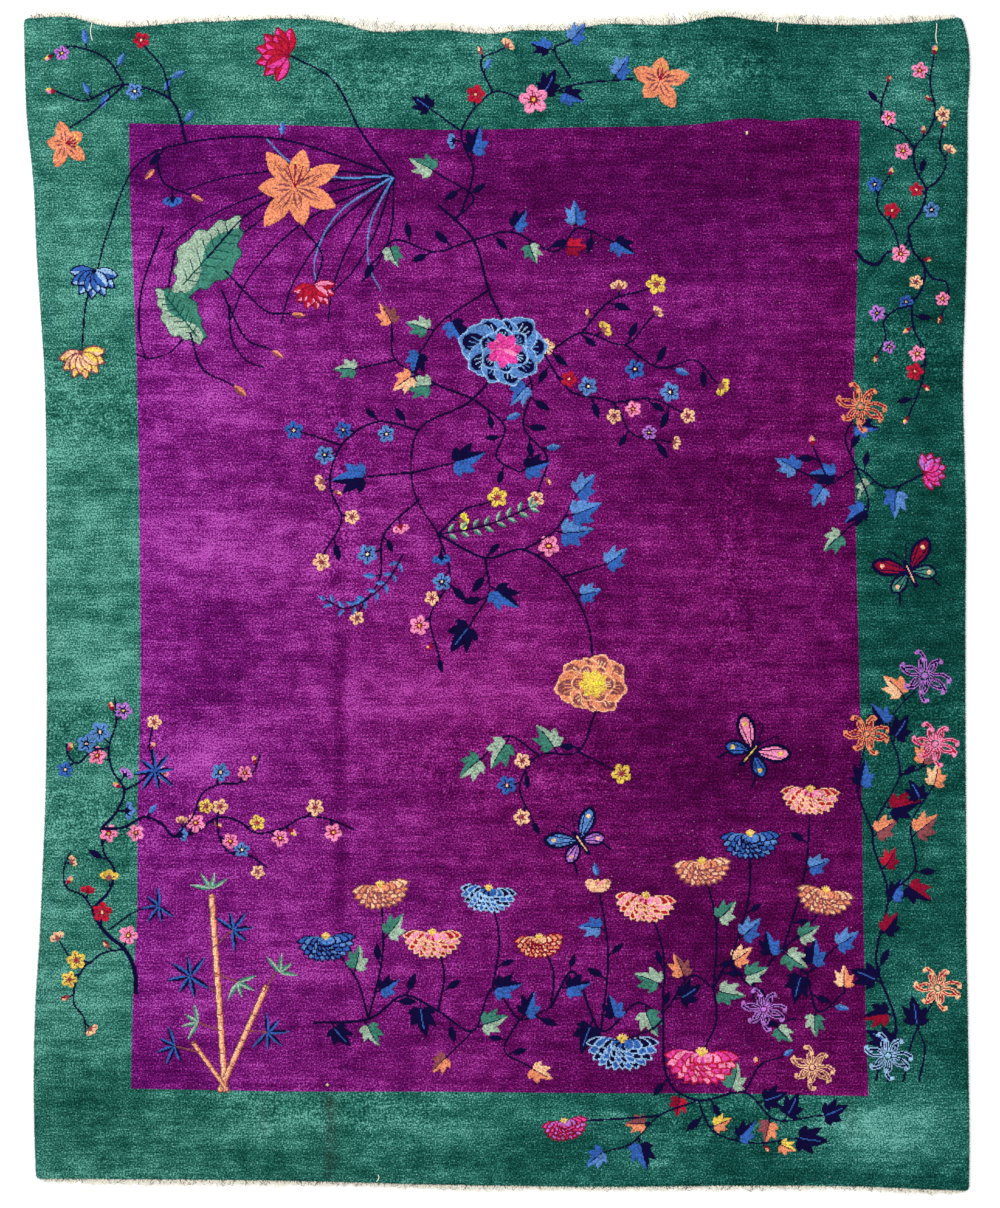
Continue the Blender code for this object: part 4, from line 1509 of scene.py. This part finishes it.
def make_web(name, end_rows, outward, cotton):
    """The narrow cotton web that holds the first knots: close ribs of weft."""
    low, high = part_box("fringe_top" if outward > 0 else "fringe_bottom")
    x = np.arange(low[0] / MM, high[0] / MM, WEB_PITCH) - OFFSET[0]
    edge = through(end_rows, "across", "pile", x)
    chance = np.random.default_rng(WEB_SEED)
    ribs = []
    for ahead, height in WEB_PROFILE:
        wander = chance.uniform(-WEB_WANDER, WEB_WANDER, len(x))
        lumps = chance.uniform(-WEB_LUMPS, WEB_LUMPS, len(x)) if height > 1 else 0 * x
        ribs.append(np.stack([x, edge + outward * (ahead + wander), height + lumps], -1))
    ribs.append(np.stack([x, edge + outward * WEB_PROFILE[0][0], 0 * x + LOWEST_YARN], -1))
    points = np.stack(ribs)
    rows, count = points.shape[:2]
    number = np.arange(rows * count).reshape(rows, count)
    beside = np.roll(number, -1, axis=0)
    faces = np.stack([number[:, :-1], beside[:, :-1], beside[:, 1:], number[:, 1:]], -1)
    faces = faces.reshape(-1, 4)
    caps = [number[:, 0].tolist(), number[::-1, -1].tolist()]
    if outward > 0:
        faces = faces[:, ::-1]
        caps = [cap[::-1] for cap in caps]
    return add_piece(name, placed(points.reshape(-1, 3)), [*faces.tolist(), *caps], [cotton])


def make_stray_threads(cotton):
    """A few pulled warp threads that lie back over the pile, all but one at the top end."""
    chance = np.random.default_rng(STRAY_SEED)
    t = np.linspace(0, 1, YARN_POINTS)
    paths = []
    for thread in STRAY_THREADS:
        turn = math.radians(thread.turn)
        bow = STRAY_BOW * np.sin(t * 4 + chance.uniform(0, 3))
        x = thread.across + thread.length * t * math.cos(turn) - bow * math.sin(turn)
        y = thread.along + thread.length * t * math.sin(turn) + bow * math.cos(turn)
        paths.append(np.stack([x, y, PILE_HEIGHT + STRAY_HEIGHT + patches_at(SWELLS, x, y)], -1))
    points, faces = tubes(paths, np.full((len(paths), YARN_POINTS), STRAY_RADIUS))
    return add_piece("stray_warp_threads", placed(points), faces, [cotton])


RIM_TUFT_PITCH = 2.6
RIM_TUFT_LIFTS = (3.5, 6.5, 9.5)
RIM_TUFT_REACH = (1.5, 4.0)
RIM_TUFT_HALF_WIDTH = 1.4
RIM_TUFT_THICKNESS = 1.8
RIM_TUFT_WANDER = 1.2
RIM_TUFT_SPREAD = 0.7
RIM_TUFT_ROOT = 2
RIM_TUFT_SINK = 0.8
RIM_TUFT_RISE = (-0.5, 1.5)
RIM_TUFT_LOWEST = 0.3
RIM_TUFT_SEED = 6


def make_rim_tufts(border_wool):
    """Loose tufts that lean out of the rim all round, so that the edge is soft and not cut."""
    chance = np.random.default_rng(RIM_TUFT_SEED)
    nominal_u = np.arange(CORNER_RADIUS, CUT_WIDTH - CORNER_RADIUS, RIM_TUFT_PITCH)
    nominal_v = np.arange(CORNER_RADIUS, CUT_LENGTH - CORNER_RADIUS, RIM_TUFT_PITCH)
    runs = []
    for lift in RIM_TUFT_LIFTS:
        share = (lift - FOUNDATION_HEIGHT) / (PILE_HEIGHT - FOUNDATION_HEIGHT)
        inset = RIM_WIDTH * (1 - math.sqrt(1 - share ** 2))
        runs += [
            (nominal_u, 0 * nominal_u + inset, -TAU / 4, lift),
            (nominal_u, 0 * nominal_u + CUT_LENGTH - inset, TAU / 4, lift),
            (0 * nominal_v + inset, nominal_v, math.pi, lift),
            (0 * nominal_v + CUT_WIDTH - inset, nominal_v, 0.0, lift),
        ]
    points = []
    for u, v, turn, lift in runs:
        u = u + chance.uniform(-RIM_TUFT_WANDER, RIM_TUFT_WANDER, len(u)) * abs(math.sin(turn))
        v = v + chance.uniform(-RIM_TUFT_WANDER, RIM_TUFT_WANDER, len(v)) * abs(math.cos(turn))
        x, y = on_carpet(u, v)
        way = turn + chance.uniform(-RIM_TUFT_SPREAD, RIM_TUFT_SPREAD, len(x))
        reach = chance.uniform(*RIM_TUFT_REACH, len(x)) + RIM_TUFT_ROOT
        root_x = x - RIM_TUFT_ROOT * math.cos(turn)
        root_y = y - RIM_TUFT_ROOT * math.sin(turn)
        root = np.stack([root_x, root_y, 0 * x + lift - RIM_TUFT_SINK], -1)
        across = np.stack([-np.sin(way), np.cos(way), 0 * x], -1) * RIM_TUFT_HALF_WIDTH
        rise = chance.uniform(*RIM_TUFT_RISE, len(x))
        tip = root + np.stack([reach * np.cos(way), reach * np.sin(way), rise], -1)
        over = root + [0, 0, RIM_TUFT_THICKNESS]
        points.append(np.stack([root - across, root + across, over, tip], 1))
    points = np.concatenate(points).reshape(-1, 3)
    points[:, 2] = np.maximum(points[:, 2], RIM_TUFT_LOWEST)
    first = np.arange(0, len(points), 4)[:, None]
    sides = np.array([[0, 1, 3], [1, 2, 3], [2, 0, 3], [0, 2, 1]])
    faces = (first[:, None] + sides[None]).reshape(-1, 3)
    return add_piece("rim_tufts", placed(points), faces.tolist(), [border_wool])


# Studio

FLOOR_HALF = 20.0
FLOOR_LEVEL = -0.3 * MM
SKY_STRENGTH = 1.14
LAMP_SIZE = 3.0
LAMP_WATTS = 140.0
LAMP_PLACE = (-4.2, 3.2, 3.2)

# The photograph shows 2.58 mm a pixel over 1000 by 1208 pixels
PIXEL = 2.58 * MM
VIEW_HEIGHT = 1208 * PIXEL
VIEW_MIDDLE = (3.15 * PIXEL, -2.5 * PIXEL)
CAMERA_DISTANCE = 9.0
SENSOR_HEIGHT = 24.0


def make_floor():
    """Pale floor, far larger than the carpet."""
    mesh = bpy.data.meshes.new("studio_floor")
    corners = [
        (x * FLOOR_HALF, y * FLOOR_HALF, FLOOR_LEVEL) for x, y in ((-1, -1), (1, -1), (1, 1), (-1, 1))
    ]
    mesh.from_pydata(corners, [], [(0, 1, 2, 3)])
    mesh.materials.append(studio_floor())
    floor = bpy.data.objects.new("studio_floor", mesh)
    bpy.context.scene.collection.objects.link(floor)


def light_room():
    """An even white sky, and a soft light from the upper left."""
    world = bpy.data.worlds.new("soft_sky")
    world.use_nodes = True
    sky = world.node_tree.nodes["Background"]
    sky.inputs["Color"].default_value = linear("#ffffff")
    sky.inputs["Strength"].default_value = SKY_STRENGTH
    bpy.context.scene.world = world
    lamp = bpy.data.lights.new("window_light", "AREA")
    lamp.shape = "RECTANGLE"
    lamp.size = LAMP_SIZE
    lamp.size_y = LAMP_SIZE
    lamp.energy = LAMP_WATTS
    light = bpy.data.objects.new("window_light", lamp)
    light.location = LAMP_PLACE
    light.rotation_euler = light.location.to_track_quat("Z", "Y").to_euler()
    bpy.context.scene.collection.objects.link(light)


def set_camera():
    """The camera straight overhead, with the photograph's frame."""
    data = bpy.data.cameras.new("overhead_camera")
    data.sensor_fit = "VERTICAL"
    data.sensor_height = SENSOR_HEIGHT
    data.lens = SENSOR_HEIGHT * (CAMERA_DISTANCE - PILE_HEIGHT * MM) / VIEW_HEIGHT
    data.clip_end = 60.0
    camera = bpy.data.objects.new("overhead_camera", data)
    camera.location = (*VIEW_MIDDLE, CAMERA_DISTANCE)
    bpy.context.scene.collection.objects.link(camera)
    bpy.context.scene.camera = camera
    bpy.context.scene.view_settings.view_transform = "Standard"


# Colours of wool and cotton, from their darkest grain to their lightest. The shade and daylight ramps
# are one wool with painted shade and with painted cool daylight.
PLUM_SHADE = (
    (0.0, "#2a0024"), (0.3, "#45023a"), (0.5, "#5f0953"), (0.72, "#811a6d"), (1.0, "#b045a0"),
)
PLUM_DAYLIGHT = (
    (0.0, "#2a0130"), (0.3, "#450549"), (0.5, "#5e0b5b"), (0.72, "#821e80"), (1.0, "#b052af"),
)
GREEN_SHADE = (
    (0.0, "#02241f"), (0.3, "#083d37"), (0.5, "#17554c"), (0.72, "#33766c"), (1.0, "#70b0a4"),
)
GREEN_DAYLIGHT = (
    (0.0, "#03251f"), (0.3, "#0d4037"), (0.5, "#1d574c"), (0.72, "#38776a"), (1.0, "#6cac9d"),
)
# Dark stop of the clean cotton: partly grime, partly painted shade in the gaps between yarns
CLEAN_COTTON = ((0.27, "#574844"), (0.35, "#f0e6cd"), (0.5, "#fffdf1"))
# Dark yarns of the fringe: partly dark warp ends, partly painted shade in its gaps
DARK_END_AND_SHADE_COTTON = ((0.3, "#2f2a30"), (0.5, "#6c6260"), (0.7, "#b8ac9c"))
FIELD_WORN = "#c4a6bc"
BORDER_WORN = "#a7cbc0"


def outline_offset():
    """How far the tables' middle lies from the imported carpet's, in millimetres."""
    columns = grid_places(CUT_WIDTH, BORDER_LEFT, BORDER_RIGHT)
    rows = grid_places(CUT_LENGTH, BORDER_BOTTOM, BORDER_TOP)
    x, y = on_carpet(*np.meshgrid(columns, rows))
    low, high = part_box("carpet")
    return (
        (low[0] + high[0]) / 2 / MM - (x.min() + x.max()) / 2,
        (low[1] + high[1]) / 2 / MM - (y.min() + y.max()) / 2,
    )


OFFSET = outline_offset()


# Shares of dark yarns in each fringe: partly dark warp ends, partly painted shade
FRINGE_DARK_AND_SHADE_TOP = 0.14
FRINGE_DARK_AND_SHADE_BOTTOM = 0.22


def main():
    make_floor()
    light_room()
    set_camera()
    field_wool = clipped_ground_wool(
        "clipped_plum_wool", PLUM_SHADE, PLUM_DAYLIGHT, FIELD_WORN, PLUM_GLOW,
    )
    border_wool = clipped_ground_wool(
        "clipped_green_wool", GREEN_SHADE, GREEN_DAYLIGHT, BORDER_WORN, GREEN_GLOW,
    )
    back = woven_back()
    cotton = frayed_cotton("frayed_cotton_warp", CLEAN_COTTON)
    cottons = [cotton, frayed_cotton("dark_end_and_painted_shade_cotton", DARK_END_AND_SHADE_COTTON)]
    pile = make_pile(field_wool, border_wool, back)
    tufts = make_rim_tufts(border_wool)
    draw_corner_spray()
    draw_top_sprig()
    draw_centre_spray()
    draw_right_plum()
    draw_right_sprig()
    draw_right_mums()
    draw_chrysanthemum_bed()
    draw_left_plum()
    draw_bamboo()
    draw_butterflies()
    wools = {
        name: clipped_spray_wool(f"clipped_{name}_wool", colour) for name, colour in WOOLS.items()
    }
    sprays = [make_spray(k, name, wools) for k, name in enumerate(spray_names)]
    top = make_fringe("frayed_warp_top", TOP_END, 1, cottons, 1, FRINGE_DARK_AND_SHADE_TOP)
    bottom = make_fringe("frayed_warp_bottom", BOTTOM_END, -1, cottons, 2, FRINGE_DARK_AND_SHADE_BOTTOM)
    webs = [
        make_web("cotton_web_top", TOP_END, 1, cotton),
        make_web("cotton_web_bottom", BOTTOM_END, -1, cotton),
    ]
    threads = make_stray_threads(cotton)
    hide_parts("carpet")
    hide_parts("fringe_top")
    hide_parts("fringe_bottom")
    for piece in (pile, tufts, *sprays):
        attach(piece, "root")
    for piece in (top, bottom, *webs, threads):
        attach(piece, "root")


main()
